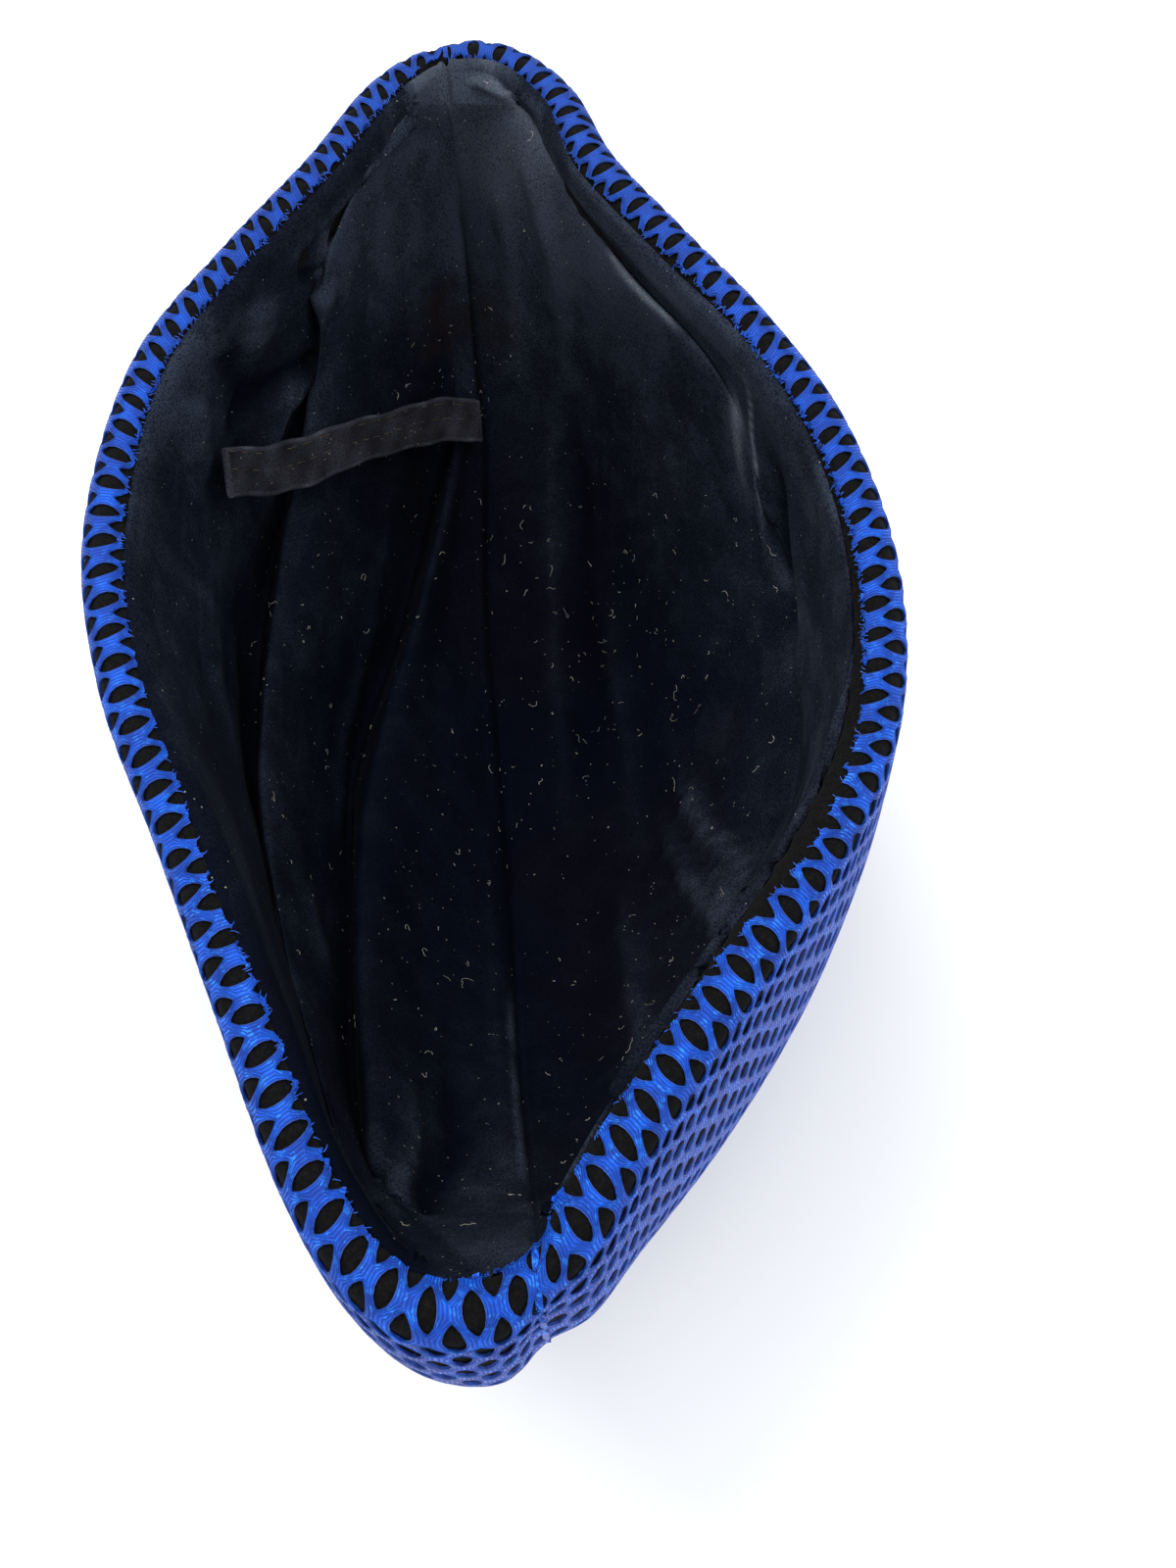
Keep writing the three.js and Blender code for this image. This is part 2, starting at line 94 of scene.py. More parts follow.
def unit(vectors):
    """The same directions at length one."""
    return vectors / np.maximum(np.linalg.norm(vectors, axis=-1), 1e-9)[..., None]


def arc(line):
    """The length along a line at each of its points."""
    return np.concatenate([[0], np.cumsum(np.linalg.norm(np.diff(line, axis=0), axis=1))])


def stepped(start, *legs):
    """Numbers from a start to the end of each leg, in that leg's number of steps."""
    values = np.array([start], float)
    for end, count in legs:
        values = np.append(values, np.linspace(values[-1], end, count + 1)[1:])
    return values


def between(place, places, rows):
    """Rows of a table read at any place, where places tells the place of each row."""
    return np.stack([np.interp(place, places, column) for column in np.asarray(rows).T], -1)


def spline(before, here, after, beyond, t):
    """A smooth curve from here to after, led by what lies before and beyond them."""
    slope_here, slope_after = (after - before) / 2, (beyond - here) / 2
    return (here + slope_here * t + (3 * (after - here) - 2 * slope_here - slope_after) * t ** 2
            + (2 * (here - after) + slope_here + slope_after) * t ** 3)


def extended(table):
    """A table with one more row before its first and one after its last, on the same slope."""
    return np.concatenate([[2 * table[0] - table[1]], table, [2 * table[-1] - table[-2]]])


def through(table, place):
    """Smooth values through the rows of a table, where place is counted in rows."""
    table = np.asarray(table, float)
    place = np.clip(np.asarray(place, float), 0, len(table) - 1)
    row = np.minimum(place.astype(int), len(table) - 2)
    held = extended(table)
    t = (place - row).reshape(place.shape + (1,) * (table.ndim - 1))
    return spline(*(held[row + k] for k in range(4)), t)


def finer(table, times):
    """The same curve through a table's rows in that many times as many."""
    return through(table, np.linspace(0, len(table) - 1, times * len(table)))


def around(table, place):
    """Smooth values round a closed table."""
    row = np.floor(place).astype(int)
    return spline(*(table[(row + k) % len(table)] for k in (-1, 0, 1, 2)), (place - row)[:, None])


class Crest:
    """One panel's part of the crest, from the far end of the seam to the near end."""

    def __init__(self, side):
        self.line = around(MOUTH, np.linspace(0 if side > 0 else len(MOUTH), NEAR_SEAM, 2401))
        lengths = arc(self.line)
        self.length = lengths[-1]
        self.share = lengths / self.length
        tangent = np.gradient(self.line, axis=0)
        out = unit(np.stack([-tangent[:, 1], tangent[:, 0]], 1) * side)
        out[:, 0] *= smoothstep(np.minimum(self.share, 1 - self.share) / SEAM_SHARE)
        self.out = unit(out)

    def at(self, share):
        """Points of the crest, and which way is out of the hat there."""
        share = np.clip(share, 0, 1)
        return between(share, self.share, self.line), unit(between(share, self.share, self.out))


CRESTS = {side: Crest(side) for side, _ in SIDES}


def bare_wall(side, share, row):
    """Points of the wall without its seam; row is counted in rows of its profile."""
    depth, length, width, oval = np.moveaxis(through(PROFILE, row), -1, 0)
    line, out = CRESTS[side].at(share)
    edge = line + ROLL * out
    turn = np.pi * np.clip(share, 0, 1)
    x = edge[..., 0] + (side * OVAL_WIDTH * np.sin(turn) - edge[..., 0]) * oval
    y = edge[..., 1] + (OVAL_MIDDLE + OVAL_LENGTH * np.cos(turn) - edge[..., 1]) * oval
    return np.stack([x * width, y * length, -np.minimum(depth, PROFILE[-1, 0])], -1)


WALL_ROWS = np.linspace(0, len(PROFILE) - 1, 601)
WALL_ARC = arc(bare_wall(1, np.full(len(WALL_ROWS), 0.5), WALL_ROWS))   # lengths down the middle of a panel
ROLL_ARC = NET_RADIUS * math.pi / 2
PANEL_ARC = ROLL_ARC + WALL_ARC[-1]   # from the crest to the middle of the crown


def kept_aside(side, points, seam=0.0, gap=PANEL_GAP):
    """A panel's points, none of them past the seam."""
    points[..., 0] = side * np.maximum(side * points[..., 0], side * seam + gap)
    return points


def skin(side, share, run, lift=0.0):
    """Points of the padding's surface and their normals. run is the length from the crest, outward and down
    the wall if positive, and into the mouth if negative; lift is a height off the surface."""
    share, run, lift = np.broadcast_arrays(np.asarray(share, float), np.asarray(run, float), lift)
    line, out = CRESTS[side].at(share)
    angle = np.clip(run, -ROLL_ARC, ROLL_ARC) / NET_RADIUS
    normal = np.concatenate([out * np.sin(angle)[..., None], np.cos(angle)[..., None]], -1)
    point = np.concatenate([line, np.zeros(share.shape + (1,))], -1) + ROLL * (normal - [0, 0, 1])
    point[..., 2] += np.minimum(run + ROLL_ARC, 0)
    down_wall = run - ROLL_ARC
    row = np.interp(down_wall, WALL_ARC, WALL_ROWS)
    down = bare_wall(side, share, row + 0.02) - bare_wall(side, share, row - 0.02)
    along = bare_wall(side, share + 1e-3, row) - bare_wall(side, share - 1e-3, row)
    wall_normal = np.cross(down, along) * -side
    flat = (np.linalg.norm(wall_normal, axis=-1) < 1e-7) | (row > len(PROFILE) - 3)
    wall_normal = np.where(flat[..., None], [0, 0, -1.0], unit(wall_normal))
    normal = normal + (wall_normal - normal) * smoothstep(down_wall / 4)[..., None]
    point = np.where((down_wall > 0)[..., None], bare_wall(side, share, row), point)
    normal[..., 0] *= smoothstep(np.abs(point[..., 0]) / 1.5 + 1e-9)
    normal = unit(normal)
    on_roll = 0.4 * np.maximum(0, np.sin(angle) + 0.5) / 1.5
    dip = SEAM_DIP * np.where(down_wall > 0, 0.4 + 0.6 * smoothstep(down_wall / 10), on_roll)
    drawn = dip * np.exp(-(point[..., 0] / SEAM_REACH) ** 2)
    return kept_aside(side, point + normal * (lift - drawn)[..., None]), normal


def placed(points):
    """Millimetres from the seam to metres in the part's frame."""
    points = np.asarray(points, float)
    return (points + [-MIDDLE[0], -MIDDLE[1], CROWN]) / 1000


# The lining: a section's mouth is where it crosses the crest's level; left and right are where a panel is
# sewn on, (share of the crest, depth); every other column is a line of the lining, (x, depth). The sections
# fan out from a line over the near end, at that y and height, and each is skewed by so much for each mm of x.
FAN_Y, FAN_HEIGHT, FAN_SKEW = -137.0, 185.0, -0.097
LINES = ("mouth", "left", "valleyA", "foldA", "backA", "valleyB", "foldB", "backB", "seam", "floor", "crease",
         "pocket", "right")
SECTIONS = (
    (112, (0.07, 4), (-7.9, 5), (-7.6, 4.5), (-5.8, 5.6), (-4, 6.5), (-2.6, 7), (-1.2, 7.3), (0, 7.5),
     (7, 6.5), (14, 5), (14.6, 6), (0.1, 5)),
    (104, (0.095, 5), (-12.8, 7), (-12.4, 6), (-9.5, 9.5), (-6, 12), (-3.5, 13), (-1.5, 13.8), (0, 14),
     (9, 11.5), (18, 7), (18.8, 9), (0.125, 6)),
    (90, (0.136, 6), (-20.3, 9), (-19.6, 7), (-14, 14), (-7, 21), (-4, 23), (-1.5, 24.5), (0, 25), (12, 19),
     (22.5, 10), (23.2, 14), (0.165, 8)),
    (65, (0.21, 6), (-30, 17), (-28.5, 14), (-20, 27), (-9, 40), (-4, 44), (-1, 45), (0, 46), (17, 33),
     (32, 14), (33.8, 17.5), (0.24, 10)),
    (40, (0.3, 6), (-36, 38), (-34, 33), (-23, 49), (-9, 63), (-5, 65), (-1, 66), (0, 67), (21, 54),
     (46, 16), (48.3, 16.5), (0.34, 11)),
    (16, (0.39, 6), (-45, 55), (-41, 47), (-29, 60), (-14, 82), (-8, 76), (-4, 80), (0, 83), (24, 77),
     (54, 30), (57, 27), (0.44, 11)),
    (-16, (0.51, 6), (-55, 65), (-48, 54), (-37, 72), (-25, 97), (-19, 80), (-12, 91), (-3, 98), (27, 94),
     (59, 50), (62, 38), (0.56, 11)),
    (-47, (0.62, 6), (-56, 67), (-51, 56), (-44, 81), (-38, 96), (-31, 77), (-18, 90), (-3, 103), (29, 100),
     (57, 61), (60, 52), (0.68, 11)),
    (-74, (0.73, 6), (-49, 64), (-47, 57), (-43, 77), (-38, 88), (-33, 67), (-20, 85), (-3, 100), (19, 98),
     (40, 75), (43, 66), (0.79, 11)),
    (-95, (0.8, 6), (-39.5, 50), (-38.5, 48), (-38, 61), (-36, 71), (-30, 55), (-19, 70), (-3, 80), (9, 81),
     (20, 68), (23, 58), (0.88, 11)),
    (-107, (0.85, 6), (-33, 37), (-32, 36), (-31.5, 45), (-31, 53), (-27, 44), (-18, 56), (-2, 60), (4, 58),
     (10, 50), (12, 42), (0.93, 11)),
    (-115, (0.9, 6), (-26, 28), (-25, 28), (-23.6, 32), (-21.5, 34.5), (-19, 34.5), (-13.5, 37.5), (-1, 38),
     (1, 36), (3, 32), (4, 28), (0.965, 11)),
)
TIPS = ((123, 3), (-115, 9))     # y and depth of the far and near ends of the lining's seam
LINING_INSET = 2.3               # from the inner side of the roll to the lining's inner face


def lining_tables():
    """The sections with a tip at each end, and a table of mouths and one of pairs for each line."""
    mouths = [row[0] for row in SECTIONS]
    pairs = [list(row[1:]) for row in SECTIONS]
    ends = []
    for share, (y, depth) in enumerate(TIPS):
        mouth = (y + FAN_Y / FAN_HEIGHT * depth) / (1 + depth / FAN_HEIGHT)
        ends.append((mouth, [(share, depth)] + [(0, depth)] * (len(LINES) - 3) + [(share, depth)]))
    mouths = [ends[0][0], *mouths, ends[1][0]]
    pairs = [ends[0][1], *pairs, ends[1][1]]
    return np.array(mouths, float), np.array(pairs, float)


MOUTHS, PAIRS = lining_tables()
PANEL_LINES = {-1: range(0, 8), 1: range(11, 6, -1)}   # columns from the sewn edge to the seam
SEAM = {side: len(lines) - 1 for side, lines in PANEL_LINES.items()}   # how many lines across it lies

# Smaller folds of each panel: height, width, then places on the lining as (section, line)
FOLDS = {-1: (
    (2.6, 2.0, ((3.5, 0.3), (3.9, 0.7), (4.3, 1.6), (4.7, 1.85))),
    (-1.8, 1.8, ((3.7, 0.1), (4.0, 0.35), (4.4, 1.1), (4.7, 1.3))),
    (2.6, 3.0, ((5.0, 1.75), (5.15, 1.3), (5.3, 0.8), (5.9, 0.7), (6.4, 0.9))),
    (-2.2, 3.0, ((4.9, 1.3), (5.1, 0.8), (5.6, 0.45), (6.2, 0.55))),
    (2.0, 4.0, ((4.4, 0.0), (4.7, 0.25), (5.1, 0.25))),
    (2.0, 4.5, ((5.5, 0.1), (5.9, 0.2), (6.4, 0.35))),
    (-1.8, 3.5, ((5.1, 0.1), (5.3, 0.35), (5.7, 0.5))),
    (1.6, 5.0, ((6.6, 0.35), (7.4, 0.5), (8.2, 0.6))),
    (-1.6, 5.0, ((6.5, 0.7), (7.5, 0.9), (8.6, 1.0))),
    (1.2, 3.6, ((8.4, 2.5), (8.9, 2.75), (9.4, 3.1))),
    (-1.8, 2.6, ((9.2, 6.2), (10.2, 6.2), (11.0, 6.2), (11.8, 5.5), (12.1, 4.8))),
    (1.8, 2.6, ((9.8, 5.6), (10.9, 5.6), (11.7, 4.9), (12.1, 4.0))),
    (1.6, 2.4, ((10.5, 5.0), (11.3, 4.6), (11.9, 3.3), (12.1, 2.7))),
    (-1.4, 2.4, ((10.9, 5.3), (11.7, 4.2), (12.1, 3.3))),
    (1.5, 1.8, ((7.9, 6.8), (9.0, 6.8), (10.5, 6.8), (11.8, 6.8))),
    (1.0, 3.0, ((6.0, 3.4), (7.5, 3.5), (9.0, 3.6))),
), 1: (
    (2.4, 2.6, ((5.4, 3.15), (6.3, 3.3), (7.2, 3.45), (8.0, 3.5), (8.8, 3.4))),
    (-1.8, 3.0, ((5.6, 2.9), (6.6, 3.1), (7.6, 3.25), (8.4, 3.25))),
    (2.0, 3.0, ((6.9, 2.95), (7.5, 3.0), (8.0, 3.0), (8.6, 2.85))),
    (1.5, 1.0, ((9.0, 1.4), (8.8, 1.9), (8.4, 2.5), (7.8, 2.7))),
    (1.5, 1.2, ((0.62, 3.4), (0.7, 2.8), (0.85, 2.2), (0.98, 1.4))),
    (-2.4, 4.0, ((5.8, 0.3), (6.4, 0.8), (6.9, 1.2), (7.4, 1.2))),
    (3.4, 2.6, ((8.9, 1.3), (8.8, 1.8), (8.4, 2.4), (7.9, 2.6))),
    (2.8, 2.2, ((9.1, 1.5), (8.9, 2.0), (8.6, 2.5), (8.1, 2.8))),
    (-2.6, 2.6, ((8.9, 1.0), (8.85, 1.6), (8.5, 2.3), (8.0, 2.5))),
    (2.0, 3.0, ((10.3, 1.2), (9.8, 2.1), (9.2, 2.7), (8.6, 3.0))),
    (1.8, 3.6, ((2.2, 2.4), (3.4, 2.7), (4.8, 2.9), (5.6, 3.1))),
    (1.4, 3.0, ((3.0, 3.3), (4.2, 3.4), (5.2, 3.5))),
)}

# Painted highlights, thin lit lines along folds and edges of the velvet: how much, how wide, and the path
# along it
PAINTED_HIGHLIGHTS = {-1: (
    (0.8, 3.6, ((4.6, -0.5), (5.4, -0.5), (6.2, -0.4), (7.0, -0.4))),
    (1.3, 0.8, ((8.2, 6.9), (9.6, 6.9), (10.8, 6.9), (11.6, 6.9))),
), 1: (
    (2.0, 0.95, ((5.3, -0.2), (5.5, 0.1), (5.8, 0.7), (6.0, 1.7), (6.3, 1.85), (6.55, 1.9), (6.8, 1.95))),
    (1.5, 2.4, ((5.2, 0.2), (5.45, 0.7), (5.8, 1.9), (6.2, 2.0), (6.4, 2.0))),
    (1.3, 1.7, ((6.5, 1.85), (6.65, 1.8), (6.85, 1.7), (7.05, 0.9), (7.3, 0.5))),
    (1.2, 1.4, ((6.1, -0.6), (6.4, -0.8), (6.6, -0.9), (6.8, -0.8))),
    (1.0, 1.1, ((3.4, -0.6), (3.9, 1.8), (4.3, 1.9), (4.6, 1.8), (4.9, 1.0))),
    (0.5, 5.0, ((4.6, 0.2), (5.6, 0.1), (6.6, 0.1), (7.4, 0.1))),
    (1.2, 4.5, ((2.0, -0.6), (3.3, -0.6), (4.4, -0.7), (5.4, -0.7), (6.6, -0.6))),
    (1.0, 2.2, ((10.4, -0.1), (11.2, -0.2), (12.0, -0.2))),
    (0.9, 1.5, ((8.9, 1.6), (8.6, 2.0), (8.3, 2.5), (8.0, 2.7))),
)}

# Painted light and shade on the velvet, as a brightness for its colour, lightest at the far end and dark in
# the deep middle: a place, then each line of the panel
PAINTED_LIGHT = {
    -1: ((0, 1.6, 1.9, 2.4, 2.4, 2.4, 2.4, 2.5, 2.5), (3, 0.8, 1.2, 1.8, 1.6, 1.5, 1.6, 1.8, 1.9),
         (5, 0.7, 0.5, 0.7, 0.4, 0.2, 0.4, 0.45, 0.3), (7, 0.5, 0.3, 0.4, 0.25, 0.12, 0.15, 0.12, 0.08),
         (9, 0.25, 0.2, 0.4, 0.25, 0.08, 0.12, 0.14, 0.09), (11, 0.1, 0.18, 0.35, 0.3, 0.12, 0.35, 0.3, 0.25),
         (12, 0.08, 0.1, 0.3, 0.4, 0.3, 0.7, 0.7, 0.65), (13, 0.08, 0.1, 0.25, 0.4, 0.4, 0.6, 0.7, 0.7)),
    1: ((0, 1.6, 2.0, 2.5, 2.2, 2.3), (3, 1.0, 1.3, 2.2, 2.2, 2.2), (4, 0.9, 1.1, 1.8, 1.8, 1.6),
        (5, 0.9, 1.2, 1.3, 0.8, 0.4), (6, 0.9, 1.2, 0.9, 0.3, 0.2), (7, 1.1, 1.0, 0.45, 0.08, 0.05),
        (9, 0.6, 0.55, 0.3, 0.06, 0.06), (11, 0.2, 0.2, 0.15, 0.1, 0.12), (13, 0.1, 0.15, 0.25, 0.4, 0.5)),
}


def lining(side, place, across):
    """Points of a panel's inner face. place is counted in sections, across in lines from the sewn edge."""
    place, across = np.broadcast_arrays(np.asarray(place, float), np.asarray(across, float))
    mouth = through(MOUTHS, place)
    pairs = through(PAIRS, place)
    lines = []
    for number, line in enumerate(PANEL_LINES[side]):
        first, depth = pairs[..., line, 0], pairs[..., line, 1]
        if number == 0:
            crest, out = CRESTS[side].at(first)
            x, y = np.moveaxis(crest - out * (ROLL + LINING_INSET), -1, 0)
        else:
            x, y = first, mouth + (mouth - FAN_Y) / FAN_HEIGHT * depth + FAN_SKEW * first
        lines.append(np.stack([x, y, -depth], -1))
    held = extended(np.stack(lines))
    row = np.clip(across.astype(int), 0, SEAM[side] - 1)
    index = np.indices(place.shape)
    point = spline(*(held[(row + k, *index)] for k in range(4)), (across - row)[..., None])
    tip = np.minimum(place, len(MOUTHS) - 1 - place) < 1e-6
    point = np.where(tip[..., None], lines[-1], point)
    return kept_aside(side, point, lines[-1][..., 0])


# Where things lie on the roll, by gap number along the crest: how far the net's rows have wandered, where it
# is cut off, how it leans, how wide its gaps are drawn, and where the lining is turned under. Runs are in mm.
DRIFT = {-1: ((0, -6.6), (14, -6.2), (18, -5.3), (22, -4.1), (30, -3.7), (34, -1.6), (38, -0.2), (48, 0)),
         1: ((0, 3.6), (14, 3.6), (18, 2.8), (28, 2.8), (34, 3.2), (36, 2.6), (38, 1.4), (40, 0), (48, 0.3))}
CUT = {-1: ((0, -1.6), (3, -3), (18, -3), (24, -3.2), (30, -2.6), (34, -1.6), (37, -2.8), (44, -3.6),
            (46, -5.5), (48, -7)),
       1: ((0, -2.6), (7, -4.2), (12, -3.8), (16, -3.4), (29, -3.4), (32, -2), (36, -0.8), (38, -2),
           (40, -3.8), (46, -4.2), (48, -7))}
LEAN = {-1: ((0, -0.08), (18, -0.08), (23, 0), (37, 0), (40, 0.04), (48, 0.03)),
        1: ((0, 0), (13, 0), (18, -0.06), (32, -0.05), (38, 0.02), (48, 0.05))}
NARROW = {-1: ((0, 0.8), (18, 0.85), (24, 0.9), (38, 0.88), (48, 0.88)),
          1: ((0, 0.78), (14, 0.85), (28, 0.88), (38, 0.86), (48, 0.88))}
HEM = {-1: ((0, -3.4), (2, -3.2), (4, -3.7), (18, -3.4), (22, -4), (27, -2.8), (31, -2.4), (34, -2), (37, -3),
            (44, -4), (46, -5.5), (48, -12)),
       1: ((0, -3.4), (2, -3.0), (6, -3.2), (8, -5), (14, -4.8), (18, -3.6), (24, -4.8), (29, -6.5),
           (33, -8.6), (38, -9), (44, -9.5), (48, -12))}
LATTICE_ROW = 4.4            # from one row of gaps to the next
NET_PLACES = (-40, 3.6, 26, 240)
NET_RUNS = (-40, 3.6, 18.8, 243.5)   # the net is drawn together where it turns down onto the wall


def reading(table, side, gap):
    """A number that changes along the crest."""
    return np.interp(gap, *np.array(table[side], float).T)


def lattice_run(place):
    """The run at a place in the net as it was made."""
    return np.interp(place, NET_PLACES, NET_RUNS)


def lattice_place(run):
    """The place in the net at a run."""
    return np.interp(run, NET_RUNS, NET_PLACES)


def drift(side, gap, place):
    """How far the net has wandered, which it does less and less down the wall."""
    return reading(DRIFT, side, gap) * (1 - smoothstep((place - 8) / 50))


def facing_up(points, side):
    """Normals of a grid of points into the hat."""
    down = np.gradient(points, axis=0)
    over = np.gradient(points, axis=1)
    return unit(np.cross(over, down) * side)


LIFT = 1.35                       # height of the lining over the padding where it lies on the roll
FIRST, LAST = 1, len(MOUTHS) - 2  # the sections beyond which the lining turns up to the ends of the mouth
TURN_UP = 0.55                    # how far past them it has reached the roll
DEEPEST_RUN = -11                 # how far down inside the mouth the lining may leave the roll
RIM_RUN = (-5.4, -8.4)            # the same at the far and the near end


def taut(side, along, hem, target):
    """The run at which cloth pulled from the hem to a target leaves the roll."""
    best = np.full(along.shape, 1e9)
    found = np.array(hem, float)
    for share in np.linspace(0, 1, 25):
        run = hem + (DEEPEST_RUN - hem) * share
        point, normal = skin(side, along, run, LIFT)
        slack = ((target - point) * normal).sum(-1)
        better = (slack > -0.15) & (best > 1e8)
        best = np.where(better, share, best)
        found = np.where(better, run, found)
    return np.where(best > 1e8, DEEPEST_RUN, found)


def turned_up(place):
    """Past the end sections, how far the lining has risen to the roll, and then how far on to its hem."""
    over = np.maximum(np.maximum(FIRST - place, place - LAST), 0)
    return np.clip(over / TURN_UP, 0, 1), np.clip((over - TURN_UP) / (1 - TURN_UP), 0, 1)


def seam_line(side, place):
    """The x at which the two panels meet. Past the end sections the seam runs out to the roll's middle."""
    return lining(side, np.clip(place, FIRST, LAST), SEAM[side])[..., 0] * (1 - turned_up(place)[0])


def velvet_base(side, place, across):
    """The lining from its hem on the roll; across is under 0 where it lies on the roll."""
    seam = SEAM[side]
    held = np.clip(place, FIRST, LAST)
    rows = held[:, 0]
    along = np.clip(through(PAIRS, held)[..., PANEL_LINES[side][0], 0], 0, 1)
    hem = reading(HEM, side, along[:, 0] * GAPS)
    foot = taut(side, along[:, 0], hem, lining(side, rows, 1))
    foot = np.convolve(np.pad(foot, 4, mode="edge"), np.ones(9) / 9, mode="valid")   # evened out
    start, _ = skin(side, along[:, 0], foot, LIFT)
    lines = extended(np.stack([start, *(lining(side, rows, number) for number in range(1, seam + 1))]))
    row = np.clip(across.astype(int), 0, seam - 1)
    index = np.broadcast_to(np.arange(len(rows))[:, None], place.shape)
    body = spline(*(lines[row + k, index] for k in range(4)), np.clip(across - row, 0, 1)[..., None])
    foot = foot[:, None]
    far = place < FIRST
    first, second = turned_up(place)
    to_end = np.where(far, 0.0, 1.0) - along
    rim = along + to_end * (0.25 + 0.75 * np.clip(across, 0, seam) / seam)
    rim_hem = reading(HEM, side, rim * GAPS)
    rim_foot = foot + (np.minimum(np.where(far, *RIM_RUN), rim_hem) - foot) * smoothstep(across)
    on_rim, _ = skin(side, rim, rim_foot + (rim_hem - rim_foot) * second, LIFT)
    body = body + (on_rim - body) * first[..., None]
    edge = along + to_end * 0.25 * first
    edge_hem = reading(HEM, side, edge * GAPS)
    edge_foot = foot + (edge_hem - foot) * second
    tuck = 0.75 * np.exp(-(1 + across) * 9)
    lip, _ = skin(side, edge, edge_hem + (edge_foot - edge_hem) * (1 + across), LIFT - tuck)
    points = np.where((across < 0)[..., None], lip, body)
    return kept_aside(side, points, seam_line(side, place), 0)


def distance_to(points, path):
    """Distance of every point from a path, and how far along the path it is nearest, from 0 to 1."""
    nearest = np.full(points.shape[:-1], 1e9)
    where = np.zeros(points.shape[:-1])
    for number, (a, b) in enumerate(zip(path, path[1:])):
        span = b - a
        t = np.clip(((points - a) @ span) / max(span @ span, 1e-9), 0, 1)
        away = np.linalg.norm(points - a - t[..., None] * span, axis=-1)
        where = np.where(away < nearest, (number + t) / (len(path) - 1), where)
        nearest = np.minimum(nearest, away)
    return nearest, where


def on_grid(points, place, across, marks):
    """The points of a grid that lie nearest to some marks, each a (place, across)."""
    row, column = (np.interp(mark, steps, np.arange(len(steps))).round().astype(int)
                   for mark, steps in zip(np.array(marks, float).T, (place[:, 0], across[0])))
    return points[row, column]


def ridge(points, line, height, width):
    """How high a rounded ridge along a line stands at every point. It dies away at both its ends."""
    away, along = distance_to(points, line)
    taper = smoothstep(along / 0.3) * smoothstep((1 - along) / 0.3)
    return height * taper * np.exp(-(away / width) ** 2)


def velvet_surface(side, place, across):
    """The lining with its smaller folds, and its painted light and shade; across is under 0 on the lip."""
    points = velvet_base(side, place, across)
    normal = facing_up(points, side)
    rise = np.zeros(place.shape)
    for height, width, path in FOLDS[side]:
        rise += ridge(points, on_grid(points, place, across, finer(path, 5)), height, width)
    x, y, z = np.moveaxis(points, -1, 0)
    wave = (np.sin(x / 7.3 + 1.3 * np.sin(y / 11)) * np.sin(y / 13.1 + z / 9 + 0.7)
            + 0.6 * np.sin(x / 3.9 + y / 5.3 + 2) * np.sin(z / 6.1 - y / 9))
    rise += 0.34 * wave
    rise *= smoothstep((across + 1) / 0.9) * smoothstep((SEAM[side] - across) / 0.45)
    rise *= smoothstep(np.minimum(place, len(MOUTHS) - 1 - place) / 0.5)
    points = points + normal * rise[..., None]
    seam = seam_line(side, place)
    near = np.abs(points[..., 0] - seam)
    drawn = 0.5 * np.exp(-((near - 1.3) / 0.8) ** 2) - 1.1 * np.exp(-(near / 0.5) ** 2)
    points[..., 2] += drawn * (across > SEAM[side] - 1)
    points = kept_aside(side, points, seam)
    return points, painted_light_of(side, points, place, across, rise)


def painted_light_of(side, points, place, across, rise):
    """Painted light and shade for the velvet's colour: by its table, lighter on the folds' rises and darker
    in their hollows and on the lip, and painted highlights along lines.
    """
    table = np.array(PAINTED_LIGHT[side], float)
    values = between(place, table[:, 0], table[:, 1:])
    across = np.clip(across, -1, SEAM[side])
    left = np.clip(across.astype(int), 0, SEAM[side] - 1)
    index = np.indices(place.shape)
    t = smoothstep(across - left)
    painted_light_and_tone = values[(*index, left)] * (1 - t) + values[(*index, left + 1)] * t
    most = np.maximum(painted_light_and_tone, 1.9)
    # painted shade: lighter on the folds' rises, darker in their hollows and on the lip under the lace's edge
    painted_fold_shade = np.clip(1 + np.where(rise > 0, 0.8, 0.4) * rise, 0.2, 3.6)
    painted_light_and_tone = np.minimum(painted_light_and_tone * painted_fold_shade * (0.35 + 0.65 * smoothstep(across + 1)), most)
    # painted highlights along lit lines of the folds and edges
    for strength, width, path in PAINTED_HIGHLIGHTS[side]:
        painted_light_and_tone += ridge(points, finer(on_grid(points, place, across, path), 6), strength, width)
    return painted_light_and_tone


# ---------------------------------------------------------------------------
# Meshes
# ---------------------------------------------------------------------------

MERGE = 2e-6                 # metres within which two points of a sheet are one


def deselect():
    for thing in bpy.context.selected_objects:
        thing.select_set(False)


def make_piece(name, points, faces, pattern=None):
    """A mesh of points in millimetres; pattern is a pair for each point, kept as its UV map."""
    mesh = bpy.data.meshes.new(name)
    mesh.from_pydata(placed(points).tolist(), [], [list(map(int, face)) for face in faces])
    if pattern is not None:
        layer = mesh.uv_layers.new(name="pattern")
        corners = np.empty(len(mesh.loops), int)
        mesh.loops.foreach_get("vertex_index", corners)
        layer.data.foreach_set("uv", np.asarray(pattern, float)[corners].ravel())
    piece = bpy.data.objects.new(name, mesh)
    bpy.context.scene.collection.objects.link(piece)
    return piece


def grid_faces(rows, columns, turn):
    """Quads over a grid of points, turned round if asked."""
    index = np.arange(rows * columns).reshape(rows, columns)
    quads = np.stack([index[:-1, :-1], index[:-1, 1:], index[1:, 1:], index[1:, :-1]], -1).reshape(-1, 4)
    return quads[:, ::-1] if turn else quads


